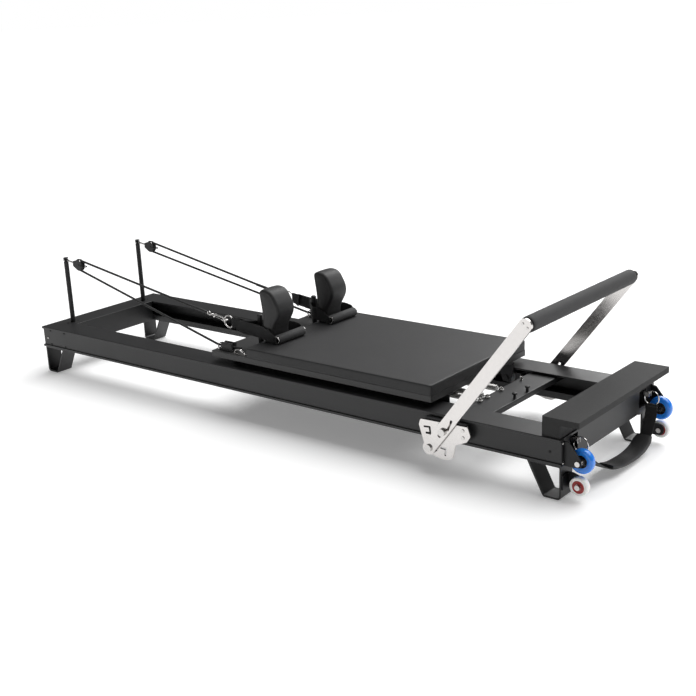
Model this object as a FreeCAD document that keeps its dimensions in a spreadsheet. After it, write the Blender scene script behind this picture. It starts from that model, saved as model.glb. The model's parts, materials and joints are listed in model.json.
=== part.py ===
import FreeCAD, Part
import math
import os
import Sketcher

# A pilates reformer, in millimetres.  +X runs from the head end (riser posts) to the foot end (standing
# platform), +Z is up and the floor is z = 0.  "near" is the -Y side and "far" the +Y side.

os.makedirs("parts", exist_ok=True)
doc = FreeCAD.newDocument("reformer")
sheet = doc.addObject("Spreadsheet::Sheet", "Sizes")
V = FreeCAD.Vector

SIZES = [
    # frame
    ("frame_length", 2385), ("frame_width", 610), ("rail_top", 192), ("rail_height", 84),
    ("rail_width", 103), ("rail_box", 55), ("flange_thick", 6), ("ledge_height", 22), ("rail_wall", 4),
    ("groove_depth", 4.5), ("groove_lip", 9), ("mitre_gap", 0.4), ("foot_bar_width", 60),
    # legs and posts
    ("leg_thick", 6), ("leg_width", 67), ("leg_span", 115), ("leg_foot", 60), ("leg_set", 2),
    ("leg_inset", 8), ("post_diameter", 19), ("post_height", 270), ("post_setback", 61),
    ("post_inset", 113.5), ("neck_diameter", 10), ("neck_height", 12), ("post_cap", 4),
    # pulleys and ropes
    ("sheave_reach", 87), ("sheave_drop", 12), ("sheave_radius", 23.5), ("rope_wrap", 20),
    ("sheave_width", 11), ("rope_diameter", 7), ("cheek_thick", 2), ("pulley_wire", 2.4),
    # carriage
    ("carriage_back", 463), ("carriage_length", 962), ("board_inset", 21), ("board_gap", 21),
    ("board_thick", 20), ("pad_length", 792), ("pad_thick", 35), ("peg_diameter", 20),
    ("peg_height", 119), ("peg_offset", 149), ("peg_back", 1302), ("rest_inner", 102.5),
    ("rest_width", 90.5), ("rest_back", 1223), ("rest_height", 191), ("grip_diameter", 33),
    ("grip_length", 140), ("grip_back", 1181), ("strap_width", 46), ("strap_thick", 3),
    ("carriage_wheel_diameter", 48), ("carriage_wheel_width", 22), ("wheel_end_front", 1375),
    ("wheel_end_rear", 485), ("axle_diameter", 10), ("hook_length", 84), ("hook_width", 22),
    ("hook_wire", 6), ("ring_radius", 22), ("ring_wire", 5),
    # springs
    ("spring_bar_back", 400), ("spring_bar_width", 100), ("spring_bar_drop", 10),
    ("spring_bar_thick", 4), ("spring_diameter", 22), ("spring_pitch", 42), ("spring_wire", 3),
    # footbar
    ("pivot_back", 442), ("pivot_drop", 107), ("arm_length", 559), ("arm_angle", 52),
    ("arm_width", 42.5), ("arm_thick", 8), ("arm_gap", 22.5), ("spacer_thick", 13),
    ("bracket_thick", 6), ("bolt_diameter", 12), ("footbar_diameter", 30), ("foam_diameter", 49),
    # foot end
    ("platform_width", 120), ("platform_reach", 55), ("platform_thick", 19), ("platform_rise", 42),
    ("platform_inset", 6), ("support_width", 60), ("blue_diameter", 76), ("blue_width", 24),
    ("white_diameter", 60), ("white_width", 24), ("floor_gap", 19), ("wheel_reach", 47),
    ("bore_gap", 0.08), ("foot_strap_width", 40), ("foot_pad_width", 62), ("foot_pad_thick", 11),
    ("foot_sag", 12), ("foot_ring_radius", 24), ("foot_eye_reach", 16.8), ("foot_eye_drop", 14.8),
]

for row, (alias, number) in enumerate(SIZES, start=1):
    sheet.set("A%d" % row, alias)
    sheet.set("B%d" % row, str(number))
    sheet.setAlias("B%d" % row, alias)
doc.recompute()


class Size:
    """A length that knows its number and the sheet expression it comes from."""

    def __init__(self, number, text):
        self.number = float(number)
        self.text = text

    def join(self, other, sign, number):
        return Size(number, "(%s %s %s)" % (self.text, sign, size(other).text))

    def __add__(self, other):
        return self.join(other, "+", self.number + size(other).number)

    def __sub__(self, other):
        return self.join(other, "-", self.number - size(other).number)

    def __mul__(self, other):
        return self.join(other, "*", self.number * size(other).number)

    def __truediv__(self, other):
        return self.join(other, "/", self.number / size(other).number)

    def __radd__(self, other):
        return size(other) + self

    def __rsub__(self, other):
        return size(other) - self

    def __rmul__(self, other):
        return size(other) * self

    def __neg__(self):
        return size(0) - self


def size(value):
    """A sheet size by its alias, or a plain number, as a Size."""
    if isinstance(value, Size):
        return value
    if isinstance(value, str):
        return Size(sheet.get(value), "Sizes." + value)
    return Size(value, "%.6f" % value)


def num(value):
    return size(value).number


def bind(obj, prop, value):
    value = size(value)
    if "Sizes" in value.text:
        obj.setExpression(prop, value.text)
    elif not prop.startswith("Placement"):
        setattr(obj, prop, value.number)
    else:
        obj.setExpression(prop, value.text)


def place(obj, x, y, z, turn=None):
    """Puts an object at x, y, z with the sheet driving the position."""
    obj.Placement = FreeCAD.Placement(V(num(x), num(y), num(z)), turn or FreeCAD.Rotation())
    for axis, value in zip("xyz", (x, y, z)):
        bind(obj, "Placement.Base." + axis, value)
    return obj


TURN_TO_Y = FreeCAD.Rotation(V(1, 0, 0), -90)
TURN_TO_X = FreeCAD.Rotation(V(0, 1, 0), 90)
made = []
counter = [0]


def fresh(stem):
    counter[0] += 1
    return "%s_%d" % (stem, counter[0])


def node(label, obj):
    """Marks one finished sub-part."""
    obj.Label = label
    made.append((label, obj))
    return obj


def box(x, y, z, dx, dy, dz, turn=None):
    obj = doc.addObject("Part::Box", fresh("Block"))
    bind(obj, "Length", dx)
    bind(obj, "Width", dy)
    bind(obj, "Height", dz)
    return place(obj, x, y, z, turn)


def rod(x, y, z, radius, length, turn=None):
    obj = doc.addObject("Part::Cylinder", fresh("Rod"))
    bind(obj, "Radius", radius)
    bind(obj, "Height", length)
    return place(obj, x, y, z, turn)


def torus(x, y, z, radius, wire, turn=None):
    obj = doc.addObject("Part::Torus", fresh("Ring"))
    bind(obj, "Radius1", radius)
    bind(obj, "Radius2", wire)
    return place(obj, x, y, z, turn)


def fuse(parts):
    obj = doc.addObject("Part::MultiFuse", fresh("Joined"))
    obj.Shapes = parts
    return obj


def cut(base, tool):
    obj = doc.addObject("Part::Cut", fresh("Cut"))
    obj.Base = base
    obj.Tool = tool
    return obj


def group(parts):
    obj = doc.addObject("Part::Compound", fresh("Group"))
    obj.Links = parts
    return obj


def made_in_code(shape):
    obj = doc.addObject("Part::Feature", fresh("Shape"))
    obj.Shape = shape
    return obj


def rounded(base, radius, picks):
    """Rounds the edges whose middle point picks() accepts."""
    doc.recompute()
    obj = doc.addObject("Part::Fillet", fresh("Rounded"))
    obj.Base = base
    edges = []
    for index, edge in enumerate(base.Shape.Edges, start=1):
        if picks(edge):
            edges.append((index, num(radius), num(radius)))
    obj.Edges = edges
    return obj


def pin_point(sketch, geometry, point, x, y):
    """Holds a sketch point at x, y with the sheet."""
    for axis, value, line in (("DistanceX", size(x), -2), ("DistanceY", size(y), -1)):
        if abs(value.number) < 1e-6:
            sketch.addConstraint(Sketcher.Constraint("PointOnObject", geometry, point, line))
            continue
        if value.number > 0:
            rule = Sketcher.Constraint(axis, -1, 1, geometry, point, value.number)
            text = value.text
        else:
            rule = Sketcher.Constraint(axis, geometry, point, -1, 1, -value.number)
            text = (-value).text
        index = sketch.addConstraint(rule)
        if "Sizes" in text:
            sketch.setExpression("Constraints[%d]" % index, text)


def corner_arc(before, corner, after, radius):
    """Tangent points, centre and angles of a round on a corner."""
    to_a = (before - corner).normalize()
    to_b = (after - corner).normalize()
    half = to_a.getAngle(to_b) / 2
    reach = radius / math.tan(half)
    centre = corner + (to_a + to_b).normalize() * (radius / math.sin(half))
    return corner + to_a * reach, corner + to_b * reach, centre


def draw_outline(sketch, corners):
    """Draws one closed outline.  Each corner is (x, y) or (x, y, round)."""
    points = [V(num(c[0]), num(c[1]), 0) for c in corners]
    count = len(points)
    starts, ends, arcs = [], [], {}
    for i, corner in enumerate(corners):
        if len(corner) == 2:
            starts.append(points[i])
            ends.append(points[i])
            continue
        first, last, centre = corner_arc(points[i - 1], points[i], points[(i + 1) % count],
                                         num(corner[2]))
        ends.append(first)
        starts.append(last)
        arcs[i] = centre
    lines = []
    for i in range(count):
        segment = Part.LineSegment(starts[i], ends[(i + 1) % count])
        lines.append(sketch.addGeometry(segment, False))
    for i in range(count):
        incoming, outgoing = lines[i - 1], lines[i]
        if i not in arcs:
            sketch.addConstraint(Sketcher.Constraint("Coincident", incoming, 2, outgoing, 1))
            pin_point(sketch, outgoing, 1, corners[i][0], corners[i][1])
            continue
        centre, radius = arcs[i], num(corners[i][2])
        a0 = math.atan2(ends[i].y - centre.y, ends[i].x - centre.x)
        a1 = math.atan2(starts[i].y - centre.y, starts[i].x - centre.x)
        turn = (a1 - a0) % (2 * math.pi)
        circle = Part.Circle(centre, V(0, 0, 1), radius)
        ccw = turn < math.pi
        low, high = (a0, a1) if ccw else (a1, a0)
        arc = sketch.addGeometry(Part.ArcOfCircle(circle, low, high), False)
        near_end, far_end = (1, 2) if ccw else (2, 1)
        sketch.addConstraint(Sketcher.Constraint("Tangent", incoming, 2, arc, near_end))
        sketch.addConstraint(Sketcher.Constraint("Tangent", arc, far_end, outgoing, 1))
        index = sketch.addConstraint(Sketcher.Constraint("Radius", arc, radius))
        if "Sizes" in size(corners[i][2]).text:
            sketch.setExpression("Constraints[%d]" % index, size(corners[i][2]).text)
        point = sketch.addGeometry(Part.Point(points[i]), True)
        pin_point(sketch, point, 1, corners[i][0], corners[i][1])
        sketch.addConstraint(Sketcher.Constraint("PointOnObject", point, 1, incoming))
        sketch.addConstraint(Sketcher.Constraint("PointOnObject", point, 1, outgoing))


def draw_hole(sketch, x, y, radius):
    circle = Part.Circle(V(num(x), num(y), 0), V(0, 0, 1), num(radius))
    index = sketch.addGeometry(circle, False)
    pin_point(sketch, index, 3, x, y)
    rule = sketch.addConstraint(Sketcher.Constraint("Radius", index, num(radius)))
    if "Sizes" in size(radius).text:
        sketch.setExpression("Constraints[%d]" % rule, size(radius).text)


def sketch_in(body, plane, outlines, holes):
    sketch = body.newObject("Sketcher::SketchObject", fresh("Profile"))
    for feature in body.Origin.OriginFeatures:
        if feature.Role == plane:
            sketch.AttachmentSupport = [(feature, "")]
    sketch.MapMode = "FlatFace"
    for outline in outlines:
        draw_outline(sketch, outline)
    for x, y, radius in holes:
        draw_hole(sketch, x, y, radius)
    return sketch


def plate(plane, outlines, thick, x, y, z, holes=(), turn=None):
    """A padded profile.  XY pads go up, YZ pads go to +X and XZ pads go to -Y."""
    body = doc.addObject("PartDesign::Body", fresh("Plate"))
    sketch = sketch_in(body, plane, outlines, holes)
    pad = body.newObject("PartDesign::Pad", fresh("Pad"))
    pad.Profile = sketch
    bind(pad, "Length", thick)
    sketch.Visibility = False
    return place(body, x, y, z, turn)


def turned(outline, x, y, z, turn=None):
    """A revolved profile; the outline is (radius, height) about the local Z axis."""
    body = doc.addObject("PartDesign::Body", fresh("Turned"))
    sketch = sketch_in(body, "XZ_Plane", [outline], ())
    spin = body.newObject("PartDesign::Revolution", fresh("Spin"))
    spin.Profile = sketch
    spin.ReferenceAxis = (sketch, ["V_Axis"])
    spin.Angle = 360.0
    sketch.Visibility = False
    return place(body, x, y, z, turn)


def pipe(points, radius, bends=None):
    """A round wire or cord along straight runs with tangent arcs at the turns."""
    points = [V(*[num(c) for c in p]) for p in points]
    edges = []
    radii = []
    start = points[0]
    for i in range(1, len(points) - 1):
        before, corner, after = points[i - 1], points[i], points[i + 1]
        to_a = (before - corner).normalize()
        to_b = (after - corner).normalize()
        turn_half = math.pi / 2 - to_a.getAngle(to_b) / 2
        shorter = min((before - corner).Length, (after - corner).Length)
        arc_radius = 0.45 * shorter / math.tan(turn_half)
        if bends:
            arc_radius = bends[i - 1]
        radii.append(arc_radius)
        first, last, centre = corner_arc(before, corner, after, arc_radius)
        middle = centre + (corner - centre).normalize() * arc_radius
        edges.append(Part.LineSegment(start, first).toShape())
        edges.append(Part.Arc(first, middle, last).toShape())
        start = last
    edges.append(Part.LineSegment(start, points[-1]).toShape())
    path = Part.Wire(edges)
    ring = Part.Wire([Part.Circle(points[0], points[1] - points[0], num(radius)).toShape()])
    solid = path.makePipeShell([ring], True, False)
    return solid, path.Length, radii


def band(stations, widths, thick, across):
    """A flat strap through stations; across() gives the width direction of a station."""
    if not isinstance(widths, list):
        widths = [widths] * len(stations)
    points = [V(*[num(c) for c in p]) for p in stations]
    wires = []
    for i, point in enumerate(points):
        before = points[max(i - 1, 0)]
        after = points[min(i + 1, len(points) - 1)]
        along = (after - before).normalize()
        side = across(i)
        normal = along.cross(side).normalize()
        w, t = num(widths[i]) / 2, num(thick) / 2
        corners = [point + side * w + normal * t, point - side * w + normal * t,
                   point - side * w - normal * t, point + side * w - normal * t]
        wires.append(Part.makePolygon(corners + [corners[0]]))
    return Part.makeLoft(wires, True, True)


# ------------------------------------------------------------------ shared positions
half = size("frame_width") / 2
head = -(size("frame_length") + "wheel_reach" + size("blue_diameter") / 2) / 2
foot = head + "frame_length"
top = size("rail_top")
under = top - "rail_height"
board_z = top + "board_gap"
board_top = board_z + "board_thick"
pad_top = board_top + "pad_thick"
post_y = half - "post_inset"
SIDES = (("near", -1), ("far", 1))


def span_y(side, inner, outer):
    """Lower y of a slab that lies between two distances from the middle plane."""
    return -size(outer) if side < 0 else size(inner)


def top_y(side, inner, outer):
    """Upper y of the same slab, where an XZ pad starts."""
    return -size(inner) if side < 0 else size(outer)


# ------------------------------------------------------------------ frame
def rail(name, side):
    """Box extrusion with a grooved outer face and a wheel channel on the inner side."""
    low = -size("rail_height")
    drop = -size("flange_thick")
    ledge = low + "ledge_height"
    lip, deep, wall = size("groove_lip"), size("groove_depth"), size("rail_wall")
    web, wide = size("rail_box"), size("rail_width")
    section = [(0, 0, 2), (wide, 0, 1.5), (wide, drop), (web, drop), (web, ledge), (wide - 3, ledge),
               (wide - 3, ledge + 2), (wide, ledge + 2, 0.8), (wide, low, 2), (0, low, 2),
               (0, low + lip, 1), (deep, low + lip), (deep, -lip), (0, -lip, 1)]
    hollow = [(deep + wall, -wall), (web - wall, -wall), (web - wall, low + wall), (deep + wall, low + wall)]
    outlines = []
    for outline in (section, hollow):
        outlines.append([((size(c[0]) - half if side < 0 else half - c[0]),) + tuple(c[1:]) for c in outline])
    bar = cut(plate("YZ_Plane", outlines, "frame_length", head, 0, top), mitre_block(side, True))
    cap = box(foot - 3, span_y(side, half - web + wall, half - deep - wall), under + wall, 3,
              web - deep - wall * 2, -low - wall * 2)
    return node(name + "_side_rail", fuse([bar, cap]))


def mitre_block(side, for_rail):
    """Block that trims a corner along the 45 degree mitre."""
    c = math.sqrt(0.5)
    gap = size("mitre_gap") / 2
    turn = FreeCAD.Rotation(V(0, 0, 1), -45 * side)
    corner_y = half * side
    # local Y start: the block lies inboard of the line for a rail and outboard for the crossbar
    if side < 0:
        shift = -gap if for_rail else gap - 200
    else:
        shift = gap - 200 if for_rail else -gap
    back = -20
    if side < 0:
        x = head + back * c - shift * c
        y = corner_y + back * c + shift * c
    else:
        x = head + back * c + shift * c
        y = corner_y - back * c + shift * c
    return box(x, y, under - 5, 210, 200, size("rail_height") + 10, turn)


def head_crossbar():
    low = -size("rail_height")
    lip, deep, wall = size("groove_lip"), size("groove_depth"), size("rail_wall")
    wide = size("rail_width")
    section = [(0, 0, 2), (wide, 0, 1.5), (wide, low, 1.5), (0, low, 2), (0, low + lip, 1),
               (deep, low + lip), (deep, -lip), (0, -lip, 1)]
    hollow = [(deep + wall, -wall), (wide - wall, -wall), (wide - wall, low + wall), (deep + wall, low + wall)]
    bar = plate("XZ_Plane", [section, hollow], "frame_width", head, half, top)
    tools = [mitre_block(-1, False), mitre_block(1, False)]
    for name, side in SIDES:
        tools.append(rod(head + "post_setback", post_y * side, top - 10,
                         size("post_diameter") / 2 + "bore_gap", 20))
    node("head_crossbar", cut(bar, fuse(tools)))


def foot_crossbar():
    inner = half - "rail_width"
    wide, wall = size("foot_bar_width"), size("rail_wall")
    section = [(-wide, -80, 1), (0, -80, 1), (0, 0, 1.5), (-wide, 0, 1.5)]
    hollow = [(wall - wide, wall - 80), (-wall, wall - 80), (-wall, -wall), (wall - wide, -wall)]
    node("foot_crossbar", plate("XZ_Plane", [section, hollow], inner * 2, foot, inner, top))


def leg(name, side, at_head):
    """Bent strip foot: upright limb, flat foot and sloping limb under the rail."""
    t, e0 = size("leg_thick"), size("leg_set")
    e1 = e0 + "leg_span"
    e2 = e0 + "leg_foot"
    height = size("rail_top") - "rail_height"
    outer = [(e0, 0, 2), (e0, -height, 14), (e2, -height, 12), (e1, 0, 2)]
    inner = [(e0 + t, -t, 2), (e0 + t, t - height, 8), (e2 - t * 0.6, t - height, 7), (e1 - t * 1.63, -t, 2)]
    outlines = [outer, inner]
    if not at_head:
        outlines = [[(-size(c[0]), c[1], c[2]) for c in o] for o in outlines]
    inner_y = half - "leg_inset" - "leg_width"
    outer_y = half - "leg_inset"
    x = head if at_head else foot
    body = plate("XZ_Plane", outlines, "leg_width", x, top_y(side, inner_y, outer_y), under)
    node(("head" if at_head else "foot") + "_leg_" + name, body)


def riser_post(name, side):
    r, neck = size("post_diameter") / 2, size("neck_diameter") / 2
    bottom = size("rail_wall") - size("rail_height")
    crown = size("post_height")
    cap = crown - "post_cap"
    shoulder = cap - "neck_height"
    outline = [(0, bottom), (r, bottom), (r, shoulder, 1), (neck, shoulder), (neck, cap), (r + 1, cap, 0.8),
               (r + 1, crown, 2.5), (0, crown)]
    node("riser_post_" + name, turned(outline, head + "post_setback", post_y * side, top))


def pulley(name, side):
    """Swivel eye, shank, two cheeks, axle and rope keeper, drooping towards the carriage."""
    reach, drop = size("sheave_reach"), size("sheave_drop")
    length = math.hypot(num(reach), num(drop))
    droop = FreeCAD.Rotation(V(0, 1, 0), math.degrees(math.atan2(num(drop), num(reach))))
    gap = size("sheave_width") / 2 + 1
    side_y = gap + "cheek_thick"
    eye = turned([(6.9, -1.8, 0.8), (10.6, -1.8, 0.8), (10.6, 1.8, 0.8), (6.9, 1.8, 0.8)], 0, 0, 0)
    shank = rod(9.6, 0, 0, 3.5, length - 36, TURN_TO_X)
    body = rounded(box(length - 34, -side_y, -10, 9, side_y * 2, 20), 1.5, lambda e: e.Length > 8.5)
    parts = [eye, shank, body]
    outline = [(length - 34, -10, 4), (length - 6, -22, 14), (length + 20, -22, 20), (length + 20, 22, 20),
               (length - 6, 22, 14), (length - 34, 10, 4)]
    for start in (side_y, -gap):
        parts.append(plate("XZ_Plane", [outline], "cheek_thick", 0, start, 0))
    parts.append(rod(length, -side_y - 2, 0, 4, side_y * 2 + 4, TURN_TO_Y))
    wire = size("pulley_wire")
    reach_out = length + 36
    keeper = [(length + 8, -side_y - wire, 1), (reach_out, -side_y - wire, 8), (reach_out, side_y + wire, 8),
              (length + 8, side_y + wire, 1)]
    inside = [(length + 8 + wire, -side_y + 1, 0.8), (reach_out - wire, -side_y + 1, 5),
              (reach_out - wire, side_y - 1, 5), (length + 8 + wire, side_y - 1, 0.8)]
    bow = plate("XY_Plane", [keeper, inside], wire, 0, 0, -wire / 2)
    parts.append(cut(bow, box(length, -gap, -wire, 17.5, gap * 2, wire * 2)))
    block = fuse(parts)
    x, z = head + "post_setback", top + "post_height" - "post_cap" - size("neck_height") / 2
    place(block, x, post_y * side, z, droop)
    node("pulley_block_" + name, block)
    wheel = size("sheave_width") / 2
    groove = size("rope_wrap") - size("rope_diameter") / 2 - 0.3
    rim = size("sheave_radius")
    deep = size("rope_diameter") / 2 + 0.4
    outline = [(size(4) + "bore_gap", -wheel, 0.3), (rim, -wheel, 0.4), (rim, -deep), (groove + 1.2, -deep, 1),
               (groove, -1.5, 1), (groove, 1.5, 1), (groove + 1.2, deep, 1), (rim, deep), (rim, wheel, 0.4),
               (size(4) + "bore_gap", wheel, 0.3)]
    outline = [outline[0], outline[1], (rim, -deep, 0.4), (groove, -deep + 1.5, 2), (groove, deep - 1.5, 2),
               (rim, deep, 0.4), outline[8], outline[9]]
    sheave = turned(outline, x + reach, post_y * side, z - drop, TURN_TO_Y)
    node("sheave_" + name, sheave)


def rail_screws():
    """Small screw heads on the frame, the legs and the wheel brackets."""
    heads = []
    for name, side in SIDES:
        face = half - "groove_depth"
        y0 = span_y(side, face, face + 1.5)
        for along, drop in ((48, 13.5), (136, 13.5), (48, 70.5), (136, 70.5), (28, 46)):
            heads.append(rod(head + along, y0, top - drop, 4, 1.5, TURN_TO_Y))
        heads.append(rod(foot - 37, y0, top - 44, 4, 1.5, TURN_TO_Y))
        for shift in (-26, 26):
            heads.append(rod(head + "post_setback", post_y * side + shift, top, 4, 1.6))
        for drop in (12, 73):
            heads.append(rod(foot + 3, (half - 9.8) * side, top - drop, 4, 2, TURN_TO_X))
        for shift in (-12, 12):
            heads.append(rod(foot - size("leg_set") - size("leg_thick") - 1.6, (half - 75 + 34) * side + shift,
                             under - 38, 4, 1.6, TURN_TO_X))
    node("frame_screws", group(heads))


# ------------------------------------------------------------------ spring bar
def spring_bar():
    t = size("spring_bar_thick")
    wide = size("spring_bar_width")
    reach = half - "rail_box"
    outline = [(0, 0), (wide - t, 0), (wide - t, -14), (wide, -14), (wide, t, 2.5), (0, t)]
    z = top - "spring_bar_drop" - t
    x = foot - "spring_bar_back"
    node("spring_bar", plate("XZ_Plane", [outline], reach * 2, x, reach, z))
    plate_top = top - "spring_bar_drop"
    pegs = []
    for y in (-39, 39):
        peg = [(0, 0), (4.5, 0), (4.5, 11), (8.5, 13, 1), (8.5, 17, 2), (0, 19)]
        pegs.append(turned(peg, x + 88, y, plate_top))
    for step in (-3, -2, 0, 3):
        stud = [(0, 0), (3, 0), (3, 9), (6, 9, 0.5), (6, 12, 1.5), (0, 12)]
        pegs.append(turned(stud, x + 14, size("spring_pitch") * step, plate_top))
    node("spring_pegs", group(pegs))


def spring(y, hook_x, anchor_x, z):
    """One extension spring as a closed coil with an eye at each end."""
    r, wire = size("spring_diameter") / 2, size("spring_wire")
    eye = 7.5
    coil_start = anchor_x + 30
    coil_end = hook_x - 34
    parts = [rod(coil_start, y, z, r, coil_end - coil_start, TURN_TO_X)]
    parts.append(torus(hook_x, y, z, eye, wire / 2))
    parts.append(torus(anchor_x, y, z, eye, wire / 2))
    parts.append(rod(coil_end - 1, y, z, wire / 2, hook_x - coil_end - eye + 1, TURN_TO_X))
    parts.append(rod(anchor_x + eye, y, z, wire / 2, coil_start - anchor_x - eye + 1, TURN_TO_X))
    return fuse(parts)


def springs():
    z = top - "spring_bar_drop" + 5.5
    hook_x = foot - "spring_bar_back" + 14
    anchor_x = foot - "wheel_end_front" + 46
    rows = [spring(size("spring_pitch") * step, hook_x, anchor_x, z) for step in (-3, -2, 0)]
    node("carriage_springs", group(rows))
    spare = spring(size("spring_pitch") * -4, foot - "carriage_back" - 30, anchor_x, z)
    node("parked_spring", spare)
    pins = []
    wide = half - 116
    bar = box(anchor_x - 16, -wide, top + 4, 32, wide * 2, size("board_gap") - 4)
    pins.append(bar)
    for step in (-4, -3, -2, 0):
        y = size("spring_pitch") * step
        pins.append(rod(anchor_x, y, z - 6, 4, top + 4 - z + 6))
    node("spring_anchor", fuse(pins))


# ------------------------------------------------------------------ carriage
def carriage_board():
    wide = half - "board_inset"
    x = foot - "carriage_back" - "carriage_length"
    long = size("carriage_length")
    outline = [(0, -wide, 6), (long, -wide, 6), (long, wide, 6), (0, wide, 6)]
    node("carriage_board", plate("XY_Plane", [outline], "board_thick", x, 0, board_z))
    pad_x = foot - "carriage_back" - "pad_length"
    long = size("pad_length")
    outline = [(0, -wide, 9), (long, -wide, 9), (long, wide, 9), (0, wide, 9)]
    pad = plate("XY_Plane", [outline], "pad_thick", pad_x, 0, board_top)
    doc.recompute()
    crown = pad.Shape.BoundBox.ZMax
    pad = rounded(pad, 4, lambda e: e.BoundBox.ZMin > crown - 0.1)
    node("carriage_pad", pad)


def pegs_and_rests():
    pegs = []
    r = size("peg_diameter") / 2
    outline = [(0, 0), (r + 5, 0), (r + 5, 4, 2), (r, 4), (r, "peg_height", 6), (0, "peg_height")]
    for name, side in SIDES:
        pegs.append(turned(outline, foot - "peg_back", size("peg_offset") * side, board_top))
    node("strap_pegs", group(pegs))
    height = size("rest_height")
    outline = [(-25, 0, 3), (-25, height * 0.65, 50), (-38, height * 0.97, 14), (-14, height, 12),
               (19, height * 0.98, 22), (61, height * 0.62, 44), (19, height * 0.27, 34), (18, 0, 3)]
    for name, side in SIDES:
        outer = size("rest_inner") + "rest_width"
        y = top_y(side, "rest_inner", outer)
        body = plate("XZ_Plane", [outline], "rest_width", foot - "rest_back", y, pad_top)
        node("shoulder_rest_" + name, rounded(body, 8, lambda e: abs(e.tangentAt(e.FirstParameter).y) < 0.5
                                              and e.BoundBox.YLength < 0.01))


def carriage_wheels():
    r, wide = size("carriage_wheel_diameter") / 2, size("carriage_wheel_width")
    axle = size("axle_diameter") / 2
    ledge = under + "ledge_height"
    bore = axle + "bore_gap"
    wheel_out = half - "rail_box" - 17
    wheel_in = wheel_out - wide
    brackets = []
    for end, back in (("front", "wheel_end_front"), ("rear", "wheel_end_rear")):
        x = foot - back
        for name, side in SIDES:
            outline = [(bore, 0, 0.4), (r * 0.5, 0, 1), (r * 0.56, 2, 1), (r * 0.8, 2, 1), (r * 0.86, 0, 1),
                       (r, 0, 2), (r, wide, 2), (r * 0.86, wide, 1), (r * 0.8, wide - 2, 1),
                       (r * 0.56, wide - 2, 1), (r * 0.5, wide, 1), (bore, wide, 0.4)]
            y = span_y(side, wheel_in, wheel_out)
            node("carriage_wheel_%s_%s" % (name, end), turned(outline, x, y, ledge + r, TURN_TO_Y))
            plate_y = wheel_in - 16
            axle_y = size(-r - ledge + board_z)
            shape = [(-28, 0), (28, 0), (28, -26, 6), (14, -axle_y - 13, 8), (-14, -axle_y - 13, 8), (-28, -26, 6)]
            parts = [plate("XZ_Plane", [shape], 4, x, top_y(side, plate_y - 4, plate_y), board_z)]
            parts.append(box(x - 28, span_y(side, plate_y - 30, plate_y - 4), board_z - 4, 56, 26, 4))
            parts.append(rod(x, span_y(side, plate_y, wheel_out + 4), ledge + r, axle,
                             wheel_out + 4 - plate_y, TURN_TO_Y))
            parts.append(rod(x, span_y(side, plate_y - 8, plate_y - 4), ledge + r, axle + 4, 4, TURN_TO_Y))
            brackets.append(fuse(parts))
    node("carriage_wheel_brackets", group(brackets))
    stops = []
    inner, outer = wheel_in - 3, half - "rail_box"
    x = foot - "wheel_end_rear" + r + 2
    for name, side in SIDES:
        stops.append(box(x, span_y(side, inner, outer), ledge, 22, outer - inner, 42))
    node("carriage_stops", group(stops))


# ------------------------------------------------------------------ ropes and hand straps
def rope_points(side, hook_shift):
    """Key points of one rope: hook, both sheave tangents and the cleat."""
    x0 = num(head + "post_setback" + "sheave_reach")
    z0 = num(top + "post_height" - "post_cap" - size("neck_height") / 2 - "sheave_drop")
    y0 = num(post_y) * side
    hook = V(num(foot - 1535 + hook_shift), side * (num(post_y) - 4.5), num(top) + 146)
    lead = V(num(foot - 1420), side * (num(half) - 58), num(board_top) + 13)
    return V(x0, y0, z0), hook, lead


def strand_height(centre, target, radius, upper, x):
    """Height at x of the straight strand from target that just touches the sheave circle."""
    dx, dz = target.x - centre.x, target.z - centre.z
    reach = math.hypot(dx, dz)
    base = math.atan2(dz, dx)
    swing = math.asin(radius / reach)
    slope = math.tan(base - swing if upper else base + swing)
    return target.z - slope * (target.x - x)


def rope(name, side, hook_shift):
    """One taut rope: snap hook, over and round the sheave, down to the cleat and its short tail."""
    centre, hook, lead = rope_points(side, hook_shift)
    wrap = num("rope_wrap")
    x = centre.x - wrap - 0.2
    over = V(x, centre.y, strand_height(centre, hook, wrap, True, x))
    below = V(x, centre.y, strand_height(centre, lead, wrap, False, x))
    end = lead + V(112, side * 0.5, 2)
    r = num("rope_diameter") / 2
    solid, length, radii = pipe([hook, over, below, lead, end], r, [wrap, wrap, 150])
    print("rope", name, "length %.1f" % length, "radii", ["%.1f" % v for v in radii],
          "section x length %.0f" % (math.pi * r * r * length), "volume %.0f" % solid.Volume)
    node("rope_" + name, made_in_code(solid))


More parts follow.
